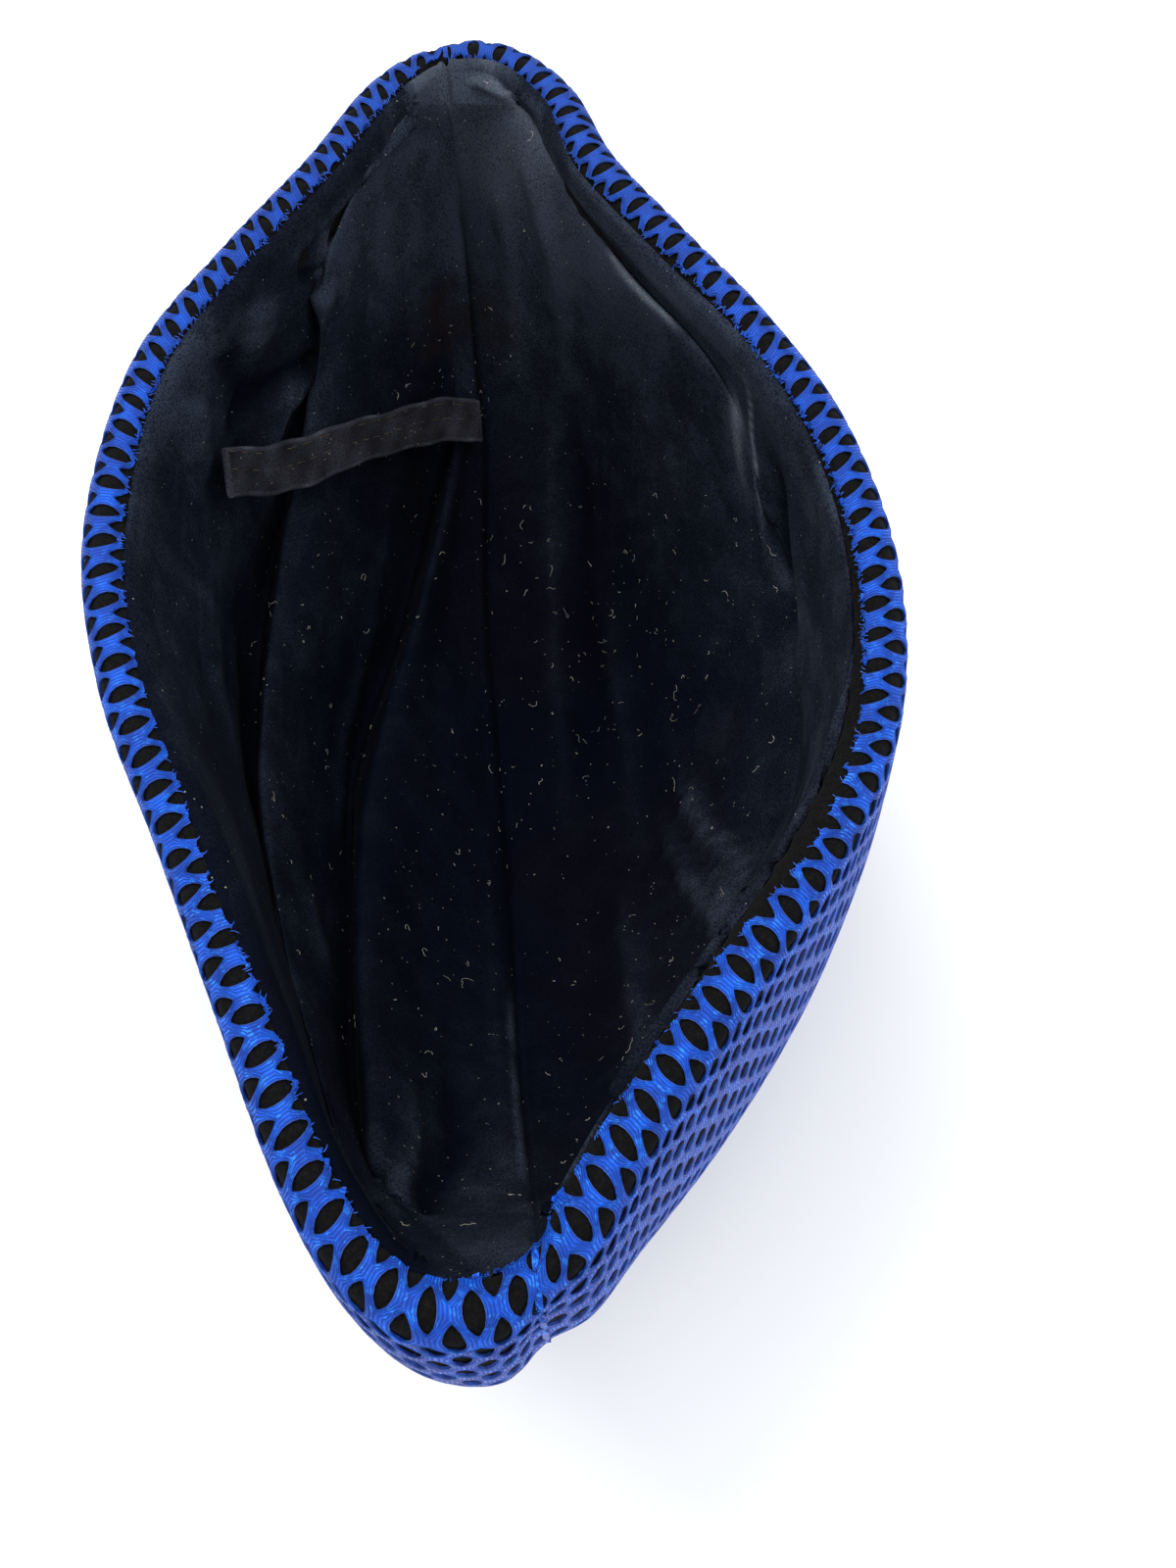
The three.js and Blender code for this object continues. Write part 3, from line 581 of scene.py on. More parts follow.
def ring_faces(first, rings, count):
    """Quads between rings of count points, of which the first ring starts at point first."""
    faces = []
    for a in range(first, first + (rings - 1) * count):
        b = a + 1 if (a + 1 - first) % count else a + 1 - count
        faces.append([a, b, b + count, a + count])
    return faces


def rod_faces(first, rings, count):
    """The same with both ends closed."""
    ends = [list(range(start, start + count)) for start in (first, first + (rings - 1) * count)]
    return [*ring_faces(first, rings, count), ends[0][::-1], ends[1]]


@contextmanager
def opened(piece):
    """A piece's mesh, open to mesh operators."""
    shape = bmesh.new()
    shape.from_mesh(piece.data)
    yield shape
    shape.to_mesh(piece.data)
    shape.free()


def select(piece):
    """Makes a piece the active one and the only one selected."""
    deselect()
    bpy.context.view_layer.objects.active = piece
    piece.select_set(True)


def smooth(piece, angle):
    select(piece)
    bpy.ops.object.shade_smooth_by_angle(angle=math.radians(angle))


def thicken(piece, thickness, angle=60):
    """Merges a sheet's points where they meet, grows its wall in metres behind its faces and smooths it."""
    with opened(piece) as shape:
        bmesh.ops.remove_doubles(shape, verts=shape.verts, dist=MERGE)
        bmesh.ops.dissolve_degenerate(shape, edges=shape.edges, dist=MERGE)
        loose = [vert for vert in shape.verts if not vert.link_faces]
        bmesh.ops.delete(shape, geom=loose, context="VERTS")
    wall = piece.modifiers.new("wall", "SOLIDIFY")
    wall.thickness = thickness
    wall.offset = -1
    wall.use_even_offset = False
    select(piece)
    bpy.ops.object.modifier_apply(modifier=wall.name)
    smooth(piece, angle)


def tubes(name, lines, radius, sides):
    """Thin rods along lists of points, in millimetres, with pointed ends."""
    points, faces = [], []
    turn = np.arange(sides)[:, None] * math.tau / sides
    for line in lines:
        line = np.asarray(line, float)
        tangent = unit(np.gradient(line, axis=0))
        across = unit(np.cross(tangent, [0.31, 0.27, 0.91]))
        other = np.cross(tangent, across)
        size = np.full((len(line), 1, 1), radius)
        size[[0, -1]] *= 0.45
        faces += rod_faces(len(points), len(line), sides)
        rings = line[:, None] + size * (np.cos(turn) * across[:, None] + np.sin(turn) * other[:, None])
        points.extend(rings.reshape(-1, 3))
    return make_piece(name, points, faces)


# ---------------------------------------------------------------------------
# Materials
# ---------------------------------------------------------------------------

def operation(kind, reflected=False):
    """A method of a value that adds a Math node."""

    def method(self, other=None):
        first, second = (other, self) if reflected else (self, other)
        inputs = {0: first} if second is None else {0: first, 1: second}
        return self.shade.node("ShaderNodeMath", {"operation": kind}, inputs)

    return method


class Value:
    """An output socket; an expression on values adds its Math nodes."""

    def __init__(self, shade, socket):
        self.shade = shade
        self.socket = socket

    __add__ = operation("ADD")
    __radd__ = operation("ADD", reflected=True)
    __sub__ = operation("SUBTRACT")
    __rsub__ = operation("SUBTRACT", reflected=True)
    __mul__ = operation("MULTIPLY")
    __rmul__ = operation("MULTIPLY", reflected=True)
    __truediv__ = operation("DIVIDE")
    __rtruediv__ = operation("DIVIDE", reflected=True)
    __lt__ = operation("LESS_THAN")
    __gt__ = operation("GREATER_THAN")
    sine = operation("SINE")


class Shade:
    """A material's node tree, whose values add up like numbers."""

    def __init__(self, name):
        self.material = bpy.data.materials.new(name)
        self.material.use_nodes = True
        self.tree = self.material.node_tree
        self.shader = self.tree.nodes["Principled BSDF"]
        self.here = self.node("ShaderNodeTexCoord", output=3)

    def fill(self, socket, value):
        """Links a value to a socket, or gives it a number, a vector or a colour."""
        if isinstance(value, Value):
            self.tree.links.new(value.socket, socket)
        else:
            socket.default_value = (*value, 1) if socket.type == "RGBA" else value

    def node(self, kind, settings=None, inputs=None, output=0):
        """One node: its settings first, then the values or links of its sockets."""
        made = self.tree.nodes.new(kind)
        for key, value in (settings or {}).items():
            setattr(made, key, value)
        for key, value in (inputs or {}).items():
            self.fill(made.inputs[key], value)
        return Value(self, made.outputs[output])

    def set(self, **sockets):
        """Sockets of the shader, with _ for a space."""
        for key, value in sockets.items():
            self.fill(self.shader.inputs[key.replace("_", " ")], value)

    def mix(self, share, low, high):
        """A colour between two, each a colour or a linked one."""
        return self.node("ShaderNodeMix", {"data_type": "RGBA"}, {0: share, 6: low, 7: high}, 2)

    def noise(self, scale, detail, roughness, distortion=0.0):
        return self.node("ShaderNodeTexNoise", None, {
            "Vector": self.here, "Scale": scale, "Detail": detail, "Roughness": roughness,
            "Distortion": distortion})

    def range(self, value, low, high, to_low=0.0, to_high=1.0):
        return self.node("ShaderNodeMapRange", {"interpolation_type": "SMOOTHSTEP"},
                         {0: value, 1: low, 2: high, 3: to_low, 4: to_high})

    def part(self, vector, axis):
        return self.node("ShaderNodeSeparateXYZ", None, {0: vector}, axis)

    def pattern(self, axis):
        """The first or second number of the piece's own map."""
        return self.part(self.node("ShaderNodeUVMap", {"uv_map": "pattern"}), axis)

    def bump(self, height, strength, distance):
        return self.node("ShaderNodeBump", None, {
            "Height": height, "Strength": strength, "Distance": distance})


def dimmed(colour, share):
    return tuple(share * part for part in colour)


def velvet(name, dark, light, wine, sheen, tint, stain=None):
    """Short-pile velvet: brushed patches, a fine nap, and specks of lint caught in it, with painted light and
    shade from its map and a painted highlight on the crests.
    """
    shade = Shade(name)
    # the first number of the map is painted light and shade, and on the tab a random tone as well
    painted_light_and_tone_map = shade.pattern(0)
    nap = shade.noise(2600, 2, 0.6)
    patches = shade.range(shade.noise(34, 3, 0.55, 0.6), 0.42, 0.68)
    brushed = shade.range(shade.noise(120, 3, 0.6, 0.3), 0.4, 0.7)
    lit = (patches * 0.22 + brushed * 0.33 + 0.36) * painted_light_and_tone_map * shade.range(nap, 0.3, 0.7, 0.3, 1.7)
    # painted highlight: a pale colour on the crests where the painted light is strongest
    painted_crest_highlight = shade.range(painted_light_and_tone_map, 1.7, 4.2) * shade.range(nap, 0.3, 0.7, 0.5, 1.5)
    colour = shade.mix(shade.range(shade.noise(21, 2, 0.5), 0.45, 0.62), dark, wine)
    colour = shade.mix(lit, colour, light)
    colour = shade.mix(painted_crest_highlight, colour, (0.20, 0.23, 0.28))
    if stain:
        spot, size, brown = stain
        away = shade.node("ShaderNodeVectorMath", {"operation": "DISTANCE"}, {0: shade.here, 1: spot}, 1)
        soiled = shade.range(away / size + shade.noise(160, 3, 0.6) * 0.9, 1.25, 0.55)
        colour = shade.mix(soiled * 0.8, colour, brown)
    cells = shade.node("ShaderNodeTexVoronoi", None, {"Vector": shade.here, "Scale": 520.0})
    specks = (cells < 0.085) * (shade.noise(210, 1, 0.5) > 0.54)
    colour = shade.mix(specks * 0.8, colour, (0.26, 0.25, 0.22))
    relief = nap * 0.6 + shade.noise(900, 2, 0.5) * 0.4
    shade.set(Base_Color=colour, Roughness=0.92, Specular_IOR_Level=0.01, Sheen_Weight=sheen,
              Sheen_Roughness=0.22, Sheen_Tint=tint, Normal=shade.bump(relief, 0.35, 0.0003))
    return shade.material


def lace(name, settings):
    """Glossy rayon threads lying side by side round every gap, with a duller cord at the gap's edge."""
    shade = Shade(name)
    across, along = shade.pattern(0), shade.pattern(1)
    y, z = shade.part(shade.here, 1), shade.part(shade.here, 2)
    wander = shade.noise(420, 2, 0.5) * 0.5 + shade.noise(1300, 2, 0.5) * 0.22
    threads = ((across * 3.0 + wander) * math.tau).sine() * 0.5 + 0.5
    twist = ((along * 2.6 + across * 1.5 + wander * 2.0) * math.tau).sine() * 0.5 + 0.5
    tone = shade.range(shade.noise(260, 3, 0.6), 0.35, 0.7)
    body = shade.mix(tone, settings.lace_deep, settings.lace_bright)
    body = shade.mix((1 - threads) * 0.62, body, settings.lace_shadow)
    # painted shade: the lace darker towards the far end
    body = shade.mix(shade.range(y, 0.0, 0.115) * 0.55, body, (0.010, 0.045, 0.25))
    # painted sheen: a paler lilac down the outer wall below the crest
    body = shade.mix(shade.range(z, 0.1155, 0.107) * 0.42, body, (0.075, 0.10, 0.40))
    glint = shade.range(shade.noise(700, 2, 0.7), 0.52, 0.66) * threads * shade.range(y, 0.05, -0.08)
    body = shade.mix(glint * 0.75, body, (0.035, 0.27, 1.0))
    edge = shade.range(across, 0.16, 0.02)
    body = shade.mix(edge * 0.5, body, settings.lace_edge)
    height = threads * 0.75 + twist * 0.18 + edge * 0.25
    shade.set(Base_Color=body, Roughness=shade.range(threads, 0.0, 1.0, 0.62, 0.36), Specular_IOR_Level=0.14,
              Normal=shade.bump(height, 0.75, 0.00028))
    return shade.material


def felt(name, settings):
    """Matt black padding with fibres and a little fluff."""
    shade = Shade(name)
    fibres = shade.noise(1500, 4, 0.65, 1.2)
    colour = shade.mix(shade.range(fibres, 0.35, 0.75), (0.002, 0.002, 0.0022), settings.felt)
    shade.set(Base_Color=colour, Roughness=0.95, Specular_IOR_Level=0.08, Sheen_Weight=0.02,
              Sheen_Roughness=0.5, Sheen_Tint=(0.7, 0.7, 0.75), Normal=shade.bump(fibres, 0.6, 0.0004))
    return shade.material


def plain(name, colour, roughness, grain=900, darker=0.4):
    """Thread, fibre and the like."""
    shade = Shade(name)
    tone = shade.noise(grain, 2, 0.6)
    mottled = shade.mix(shade.range(tone, 0.35, 0.65), dimmed(colour, darker), colour)
    shade.set(Base_Color=mottled, Roughness=roughness, Specular_IOR_Level=0.3,
              Normal=shade.bump(tone, 0.2, 0.0002))
    return shade.material


def dress(piece, material, slot, *nodes):
    """Gives a piece its material and its body, and hides the solids that it stands for; slot is not used."""
    piece.data.materials.clear()
    piece.data.materials.append(material)
    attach(piece, "root")
    if nodes:
        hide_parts(*nodes)


# ---------------------------------------------------------------------------
# Sizes and colours
# ---------------------------------------------------------------------------

def number(name, text, default, unit="NONE", **more):
    return bpy.props.FloatProperty(name=name, description=text, default=default, unit=unit, **more)


def colour(name, text, default):
    return bpy.props.FloatVectorProperty(
        name=name, description=text, default=default, size=3, subtype="COLOR", min=0, max=1)


def whole(name, text, default):
    return bpy.props.IntProperty(name=name, description=text, default=default, min=1)


class LaceSettings(bpy.types.PropertyGroup):
    cells: whole("Gaps", "Lace gaps along the crest of each panel", GAPS)
    gap_length: number("Gap length", "Length of a gap, square to the edge", 0.0061, "LENGTH")
    gap_width: number("Gap width", "Width of a gap", 0.0033, "LENGTH")
    thickness: number("Thickness", "Thickness of the lace", 0.0005, "LENGTH")
    lace_bright: colour("Bright", "Lace where it catches the light", (0.012, 0.125, 0.80))
    lace_deep: colour("Deep", "Lace in its darker patches", (0.010, 0.060, 0.42))
    lace_shadow: colour("Between threads", "Lace between its threads", (0.005, 0.018, 0.14))
    lace_edge: colour("Edge cord", "Cord at the edge of a gap", (0.05, 0.09, 0.30))


class PaddingSettings(bpy.types.PropertyGroup):
    felt: colour("Felt", "Padding seen through the gaps", (0.0075, 0.0075, 0.008))
    fill: number("Fill", "How firmly the panels are padded", 0.55)


class LiningSettings(bpy.types.PropertyGroup):
    thickness: number("Thickness", "Thickness of the velvet", 0.001, "LENGTH")
    velvet_dark: colour("Dark", "Velvet in shade", (0.0013, 0.0023, 0.0060))
    # the colour mixed in where light is painted on the velvet, and in its brushed patches
    velvet_brushed_and_lit: colour("Light", "Velvet where it is brushed", (0.031, 0.040, 0.060))
    velvet_wine: colour("Wine", "Reddish cast of the velvet in places", (0.0022, 0.0019, 0.0052))
    stain: colour("Stain", "Brown stain near the far end", (0.022, 0.014, 0.011))
    lint: colour("Lint", "Fibres caught in the pile", (0.46, 0.44, 0.37))


class TabSettings(bpy.types.PropertyGroup):
    width: number("Width", "Width of the hanging tab", 0.0105, "LENGTH")
    thickness: number("Thickness", "Thickness of the doubled tab", 0.0017, "LENGTH")
    velvet: colour("Velvet", "Velvet of the tab", (0.036, 0.036, 0.046))
    thread: colour("Thread", "Stitches of the tab", (0.13, 0.09, 0.06))


class StageSettings(bpy.types.PropertyGroup):
    floor: colour("Floor", "The plain floor", (0.9, 0.9, 0.89))
    lens: number("Lens", "Focal length in millimetres", 29.25)
    tilt: number("Tilt", "Camera's angle from straight down", math.radians(25.04), "ROTATION")
    turn: number("Turn", "Camera's turn from the seam", math.radians(5.53), "ROTATION")


# ---------------------------------------------------------------------------
# Operators
# ---------------------------------------------------------------------------

class HAT_OT_padding(bpy.types.Operator):
    """Makes the two padded panels"""
    bl_idname = "hat.padding"
    bl_label = "Padded panels"

    def execute(self, context):
        settings = context.scene.hat_padding
        material = felt("felt", settings)
        share = np.linspace(0, 1, 6 * GAPS + 1)
        run = stepped(-ROLL_ARC - 8, (-ROLL_ARC, 4), (ROLL_ARC, 26), (ROLL_ARC + 22, 24), (PANEL_ARC, 35))
        grid_run, grid_share = np.meshgrid(run, share, indexing="ij")
        gap = grid_share * GAPS
        for side, name in SIDES:
            place = lattice_place(grid_run) - drift(side, gap, lattice_place(grid_run))
            puff = np.cos(math.tau * (gap - 0.5)) * np.cos(np.pi * place / LATTICE_ROW)
            outer, _ = skin(side, grid_share, grid_run, 0.22 + 0.4 * np.maximum(puff, 0))
            piece = make_piece(f"padding_{name}", outer.reshape(-1, 3),
                               grid_faces(len(run), len(share), turn=side < 0))
            thicken(piece, WALL / 1000)
            dress(piece, material, "felt", f"shell_{name}")
        return {"FINISHED"}


SHOULDER = 0.9               # half the height of a cell's straight sides
NET_END = 20                 # how far before the middle of the crown the net's rows end
FINE_TO = 14                 # the place down to which a cell is modelled with a rounded edge
RING_LIFTS = {0: 0.78, 0.35: 0.97, 1: 0.9}   # heights over the padding from a gap's edge to its cell's border
FINE_STOPS, PLAIN_STOPS = (0, 0.35, 1), (0, 1)


def cell_border(row):
    """The outline of one six-sided cell, in gaps along and mm across, and how far its points reach."""
    tip = row - SHOULDER
    corners = [(0, tip), (0.5, SHOULDER), (0.5, -SHOULDER), (0, -tip), (-0.5, -SHOULDER), (-0.5, SHOULDER)]
    border = []
    for (a, b), (c, d), count in zip(corners, corners[1:] + corners[:1], (3, 2, 3, 3, 2, 3)):
        border += [(a + (c - a) * k / count, b + (d - b) * k / count) for k in range(count)]
    return np.array(border), tip


def raw_edge(side, gap):
    """The run where the net is cut off inside the mouth, a little ragged."""
    return reading(CUT, side, gap) + 0.3 * np.sin(37 * gap) + 0.22 * np.sin(91 * gap + 1)


def lace_panel(side, settings, seed):
    """The net's outer face: pointed oval gaps in rows that stand half a gap over from one another. With its
    points come its faces, its pattern and the (gap, run) at which its strands are cut."""
    pick = random.Random(seed)
    cells = settings.cells
    pitch = CRESTS[side].length / cells
    half_length, half_width = settings.gap_length * 500, settings.gap_width * 500 / pitch
    border, tip = cell_border(LATTICE_ROW)
    turn = np.arctan2(border[:, 1] / tip, border[:, 0] / 0.5)
    height = np.round(np.sin(turn), 9)
    breadth = np.sign(np.round(np.cos(turn), 6)) * (1 - np.abs(height) ** 2.2) ** 0.8
    last_row = int(lattice_place(PANEL_ARC - NET_END) / LATTICE_ROW)
    points, faces, pattern = [], [], []
    for j in range(-2, last_row + 1):
        offset = 0.5 if j % 2 == 0 else 0.0
        for k in range(cells + (0 if offset else 1)):
            u, w = k + offset, j * LATTICE_ROW
            moved = w + drift(side, u, w)
            size = (pick.uniform(0.93, 1.06), pick.uniform(0.92, 1.08), pick.uniform(-0.05, 0.05))
            if moved + tip < float(raw_edge(side, u)) - 0.4:
                continue
            fine = moved < FINE_TO
            stops = FINE_STOPS if fine else PLAIN_STOPS
            wide = half_width * (float(reading(NARROW, side, u)) if fine else 0.88)
            tall = half_length * (1 if fine else 0.86)
            gap = np.stack([breadth * wide * size[1] + size[2] * height, height * tall * size[0]], -1)
            faces += ring_faces(len(points), len(stops), len(border))
            for stop in stops:
                for n, (across, along) in enumerate(gap + (border - gap) * stop):
                    points.append((u + across, w + along, RING_LIFTS[stop]))
                    pattern.append((stop, n / len(border) * 4 + (k % 3)))
    points, pattern = np.array(points), np.array(pattern)
    gap = np.clip(points[:, 0], 0, cells)
    place = points[:, 1] + drift(side, gap, points[:, 1])
    run = np.maximum(lattice_run(place), raw_edge(side, gap))
    lean = reading(LEAN, side, gap) * np.clip(run, -7, 7) * smoothstep(np.minimum(gap, cells - gap) / 3)
    outer, _ = skin(side, np.clip(gap + lean, 0, cells) / cells, run, points[:, 2])
    cut = lattice_run(place) < raw_edge(side, gap)
    ends = sorted({number for face in faces if 0 < cut[face].sum() < 4 for number in face if cut[number]})
    faces = [face for face in faces if not cut[face].all()]
    return outer, faces, pattern, [(float(gap[number]), float(run[number])) for number in ends]


def frayed_ends(side, ends, cells, seed):
    """Short cut threads where the net's strands end."""
    pick = random.Random(seed)
    lines = []
    for gap, run in ends:
        if pick.random() < 0.45:
            continue
        steps = np.linspace(0, 1, 5)
        along = gap + pick.uniform(-0.05, 0.05) + pick.uniform(-0.14, 0.14) * steps ** 2
        lift = 0.8 + pick.uniform(-0.1, 0.3) * steps ** 2
        lines.append(skin(side, along / cells, run + 0.4 - pick.uniform(0.5, 1.2) * steps, lift)[0])
    return lines


class HAT_OT_lace(bpy.types.Operator):
    """Makes the pierced lace over both panels"""
    bl_idname = "hat.lace"
    bl_label = "Lace"

    def execute(self, context):
        settings = context.scene.hat_lace
        material = lace("lace", settings)
        threads = []
        for side, name in SIDES:
            outer, faces, pattern, ends = lace_panel(side, settings, LACE_SEED + side)
            threads += frayed_ends(side, ends, settings.cells, FRAY_SEED)
            if side < 0:
                faces = [face[::-1] for face in faces]
            piece = make_piece(f"lace_{name}", outer, faces, pattern)
            thicken(piece, settings.thickness, 50)
            dress(piece, material, "lace", f"net_{name}")
        frays = tubes("lace_frays", threads, 0.085, 4)
        dress(frays, plain("lace_thread", (0.03, 0.12, 0.62), 0.5), "lace")
        return {"FINISHED"}


# Where lint has gathered: x, y, radius and how thickly
LINT_SPOTS = ((-3, 97, 9, 5), (24, 8, 22, 2.6), (30, 32, 16, 2.0), (-14, 2, 14, 2.2), (-18, -32, 16, 1.6),
              (13, -72, 10, 3.5), (-24, -78, 12, 1.4), (14, 60, 20, 1.2), (2, -108, 8, 3.0))


def lint_fibres(surfaces, seed):
    """Curled fibres and crumbs of lint lying on the velvet, thicker where they have gathered."""
    pick = random.Random(seed)
    spots, normals, shares = [], [], []
    for side, points in surfaces.items():
        normal = facing_up(points, side)
        area = np.linalg.norm(np.cross(np.gradient(points, axis=0), np.gradient(points, axis=1)), axis=-1)
        share = 0.55 * area
        for x, y, radius, more in LINT_SPOTS:
            away = (points[..., 0] - x) ** 2 + (points[..., 1] - y) ** 2
            share = share + more * area * np.exp(-away / radius ** 2)
        clear = normal[..., 2] > 0.2
        clear[:, :int(0.16 * points.shape[1])] = False   # none on the roll
        clear[:8], clear[-30:] = False, False            # nor at the ends of the mouth
        spots.append(points[clear])
        normals.append(normal[clear])
        shares.append(share[clear])
    spots, normals, shares = np.concatenate(spots), np.concatenate(normals), np.concatenate(shares)
    lines = []
    for number in pick.choices(range(len(spots)), weights=shares.tolist(), k=480):
        spot, normal = spots[number], normals[number]
        crumb = pick.random() < 0.5
        length = pick.uniform(0.1, 0.35) if crumb else 0.8 + 3.6 * pick.random() ** 1.7
        steps = 3 if crumb else 12
        side_way = unit(np.cross(normal, [0.3, 0.9, 0.2]))
        other = np.cross(normal, side_way)
        heading, curl = pick.uniform(0, math.tau), pick.gauss(0, 0.35)
        spot, line = spot + 0.12 * normal, []
        for step in range(steps):
            line.append(spot)
            curl = curl * 0.8 + pick.gauss(0, 0.28)
            heading += curl
            rise = 0.25 * math.sin(step * 1.1 + heading) if not crumb else 0.1
            ahead = math.cos(heading) * side_way + math.sin(heading) * other
            spot = spot + length / steps * (ahead + rise * normal)
        lines.append(line)
    return lines


class HAT_OT_lining(bpy.types.Operator):
    """Makes the velvet lining, its folds and the lint on it"""
    bl_idname = "hat.lining"
    bl_label = "Velvet lining"

    def execute(self, context):
        settings = context.scene.hat_lining
        stain = (placed((-1.5, 100, -52)), 0.02, settings.stain)
        material = velvet("velvet", settings.velvet_dark, settings.velvet_brushed_and_lit, settings.velvet_wine, 0.015,
                          (0.50, 0.56, 0.70), stain)
        share = np.linspace(0, 1, 281)
        place = (share - np.sin(math.tau * share) / 9) * (len(MOUTHS) - 1)   # closer at the two ends
        surfaces = {}
        for side, name in SIDES:
            across = stepped(-1, (0, 12), (SEAM[side], (14 if side < 0 else 22) * SEAM[side]))
            grid_place, grid_across = np.meshgrid(place, across, indexing="ij")
            surfaces[side], painted_light_and_tone = velvet_surface(side, grid_place, grid_across)
            # the map's first number carries the velvet's painted light and shade
            piece = make_piece(f"velvet_{name}", surfaces[side].reshape(-1, 3),
                               grid_faces(len(place), len(across), turn=side < 0),
                               np.stack([painted_light_and_tone, grid_across], -1).reshape(-1, 2))
            thicken(piece, settings.thickness, 70)
            dress(piece, material, "velvet", f"lining_{name}")
        lint = tubes("lint", lint_fibres(surfaces, LINT_SEED), 0.06, 4)
        dress(lint, plain("lint", settings.lint, 0.8, 60), "velvet")
        return {"FINISHED"}


TAB_ROUTE = np.array([
    (-0.5, 87, -71), (-8.5, 85, -67), (-16, 79.5, -61.5), (-24, 70.6, -54.5), (-32, 61, -46),
    (-39, 54, -41.5), (-45.5, 44.8, -33), (-50.5, 35.4, -20.5)], float)
TAB_ACROSS = unit(np.array([0, 0.85, 0.53]))


def tab_form(route, face, width, thick):
    """The doubled strip along its route, a little wavy, and a random tone over it with a painted highlight
    along both edges.
    """
    turn = np.linspace(0, math.tau, 33)[:-1]
    over, up = (np.sign(way) * np.abs(way) ** power * size / 2 for way, power, size in
                ((np.cos(turn), 0.25, width), (np.sin(turn), 0.6, thick)))
    over, up = over[None, :, None], up[None, :, None]
    reach = np.linspace(0, 1, len(route))[:, None, None]
    sway = 0.25 * np.sin(reach * 17) + 0.18 * np.sin(reach * 41 + 1)
    ripple = 0.22 * np.sin(reach * 23 + 1) * (over / width + 0.5)
    points = (route[:, None] + (over * (1 + 0.05 * np.sin(reach * 11)) + sway) * TAB_ACROSS
              + (up + ripple) * face[:, None])
    painted_light_and_tone = 0.75 + 0.5 * np.sin(reach * 19 + over * 0.5) * np.sin(reach * 47 + 2)
    # painted highlight along both edges of the strip
    painted_light_and_tone = painted_light_and_tone + 1.1 * (np.abs(over) > 0.42 * width)
    return points, np.repeat(painted_light_and_tone.reshape(-1, 1), 2, axis=1)


def tab_seams(route, face, width, thick):
    """Two rows of stitches on the strip: each its share of the width from the middle, and its step."""
    stitches = []
    lengths = arc(route)
    arch = thick / 2 - 0.05 + 0.12 * np.sin(np.linspace(0, np.pi, 5))
    for lane, step in ((0.02, 4.4), (0.36, 6.0)):
        for place in np.arange(4.0, lengths[-1] - 2, step):
            spans = np.linspace(place, place + step * 0.62, 5)
            up = between(spans, lengths, face) * arch[:, None]
            stitches.append(between(spans, lengths, route) + TAB_ACROSS * width * lane + up)
    return stitches


class HAT_OT_tab(bpy.types.Operator):
    """Makes the hanging tab and its stitches"""
    bl_idname = "hat.tab"
    bl_label = "Hanging tab"

    def execute(self, context):
        settings = context.scene.hat_tab
        width, thick = settings.width * 1000, settings.thickness * 1000
        route = through(TAB_ROUTE, np.linspace(0, len(TAB_ROUTE) - 1, 121))
        face = unit(np.cross(np.gradient(route, axis=0), TAB_ACROSS))
        face *= np.sign(face[:, 2])[:, None]
        points, painted_light_and_tone = tab_form(route, face, width, thick)
        piece = make_piece("tab", points.reshape(-1, 3), rod_faces(0, *points.shape[:2]), painted_light_and_tone)
        with opened(piece) as shape:
            bmesh.ops.recalc_face_normals(shape, faces=shape.faces)
        smooth(piece, 60)
        sewn = tubes("tab_stitches", tab_seams(route, face, width, thick), 0.085, 5)
        dress(sewn, plain("tab_thread", settings.thread, 0.7), "tab_velvet")
        material = velvet("tab_velvet", dimmed(settings.velvet, 0.2), settings.velvet,
                          dimmed(settings.velvet, 0.25), 0.04, (0.7, 0.68, 0.72))
        dress(piece, material, "tab_velvet", "hanging_tab")
        return {"FINISHED"}


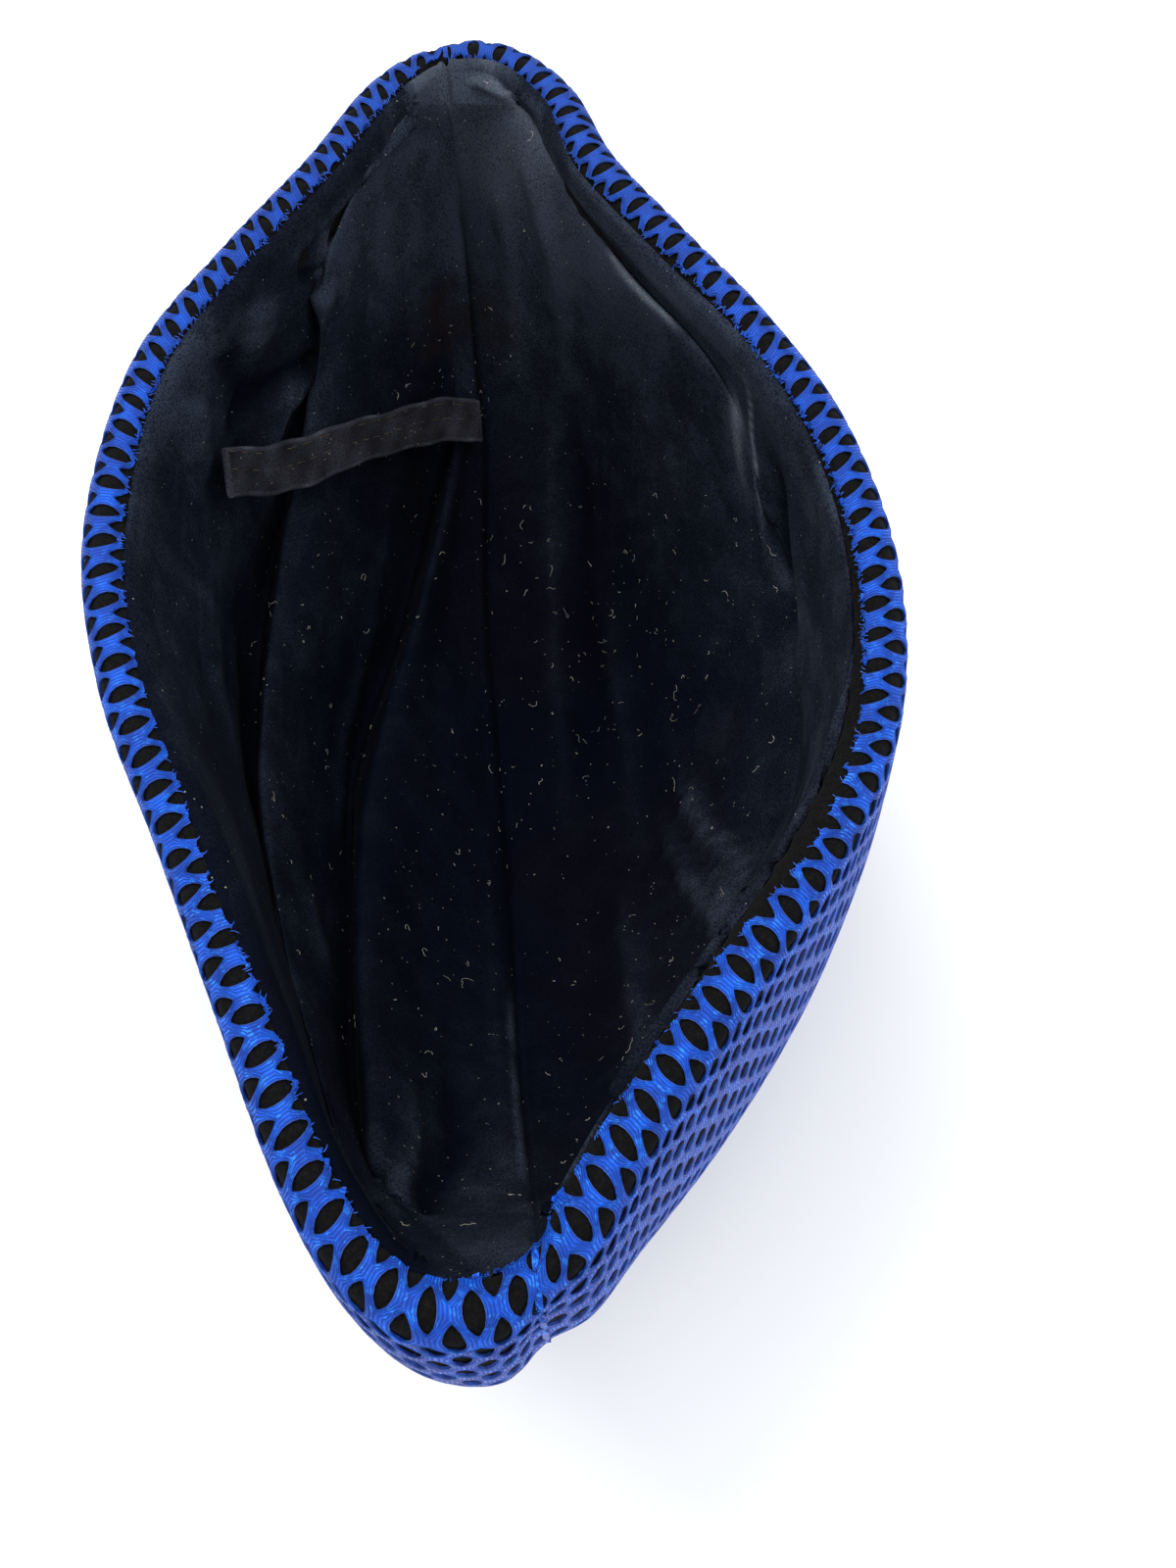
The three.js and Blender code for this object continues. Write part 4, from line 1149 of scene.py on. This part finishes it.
class HAT_OT_stage(bpy.types.Operator):
    """Lays the floor and sets the lights and the camera"""
    bl_idname = "hat.stage"
    bl_label = "Floor, lights and camera"

    def execute(self, context):
        settings = context.scene.hat_stage
        deselect()
        bpy.ops.mesh.primitive_plane_add(size=4, location=(0, 0, 0))
        floor = context.active_object
        floor.name = "floor"
        floor.data.materials.append(plain("floor", settings.floor, 0.9, 4, 0.985))
        for name, place, size, power, tone in (
                ("key_light", (-0.5, 0.7, 1.3), 0.9, 13, (1.0, 0.98, 0.95)),
                ("fill_light", (0.9, -0.7, 1.0), 1.2, 6, (0.92, 0.96, 1.0)),
                ("top_light", (0.1, 0.0, 1.6), 1.4, 9, (1.0, 1.0, 1.0))):
            bpy.ops.object.light_add(type="AREA", location=place)
            light = context.active_object
            light.name = name
            light.data.size = size
            light.data.energy = power
            light.data.color = tone
            to_hat = Vector((0, 0, 0.08)) - light.location
            light.rotation_euler = to_hat.to_track_quat("-Z", "Y").to_euler()
        world = bpy.data.worlds.new("soft_room")
        world.use_nodes = True
        sky = world.node_tree.nodes["Background"]
        sky.inputs["Color"].default_value = (0.95, 0.97, 1, 1)
        sky.inputs["Strength"].default_value = 0.8
        context.scene.world = world
        bpy.ops.object.camera_add(location=placed((5.7, -136.7, 185.4)),
                                  rotation=(settings.tilt, 0, -settings.turn))
        camera = context.active_object
        camera.name = "camera"
        camera.data.sensor_width = 36
        camera.data.lens = settings.lens
        camera.data.clip_start = 0.01
        context.scene.camera = camera
        context.scene.view_settings.view_transform = "Standard"
        return {"FINISHED"}


class HAT_PT_panel(bpy.types.Panel):
    """Lists the hat's pieces and their settings"""
    bl_label = "Chieftaincy hat"
    bl_idname = "HAT_PT_panel"
    bl_space_type = "VIEW_3D"
    bl_region_type = "UI"
    bl_category = "Hat"

    def draw(self, context):
        for key, (group, operator) in GROUPS.items():
            box = self.layout.box()
            for name in group.__annotations__:
                box.prop(getattr(context.scene, key), name)
            box.operator(operator.bl_idname)


GROUPS = {
    "hat_padding": (PaddingSettings, HAT_OT_padding),
    "hat_lace": (LaceSettings, HAT_OT_lace),
    "hat_lining": (LiningSettings, HAT_OT_lining),
    "hat_tab": (TabSettings, HAT_OT_tab),
    "hat_stage": (StageSettings, HAT_OT_stage),
}


def register():
    """Registers the settings, the operators and the panel."""
    for key, (group, operator) in GROUPS.items():
        bpy.utils.register_class(group)
        bpy.utils.register_class(operator)
        setattr(bpy.types.Scene, key, bpy.props.PointerProperty(type=group))
    bpy.utils.register_class(HAT_PT_panel)


def unregister():
    """Takes them away again."""
    bpy.utils.unregister_class(HAT_PT_panel)
    for key, (group, operator) in reversed(GROUPS.items()):
        delattr(bpy.types.Scene, key)
        bpy.utils.unregister_class(operator)
        bpy.utils.unregister_class(group)


def main():
    """Builds the hat and its stage."""
    register()
    bpy.ops.hat.padding()
    bpy.ops.hat.lace()
    bpy.ops.hat.lining()
    bpy.ops.hat.tab()
    bpy.ops.hat.stage()
    bpy.context.view_layer.update()


if __name__ == "__main__":
    main()
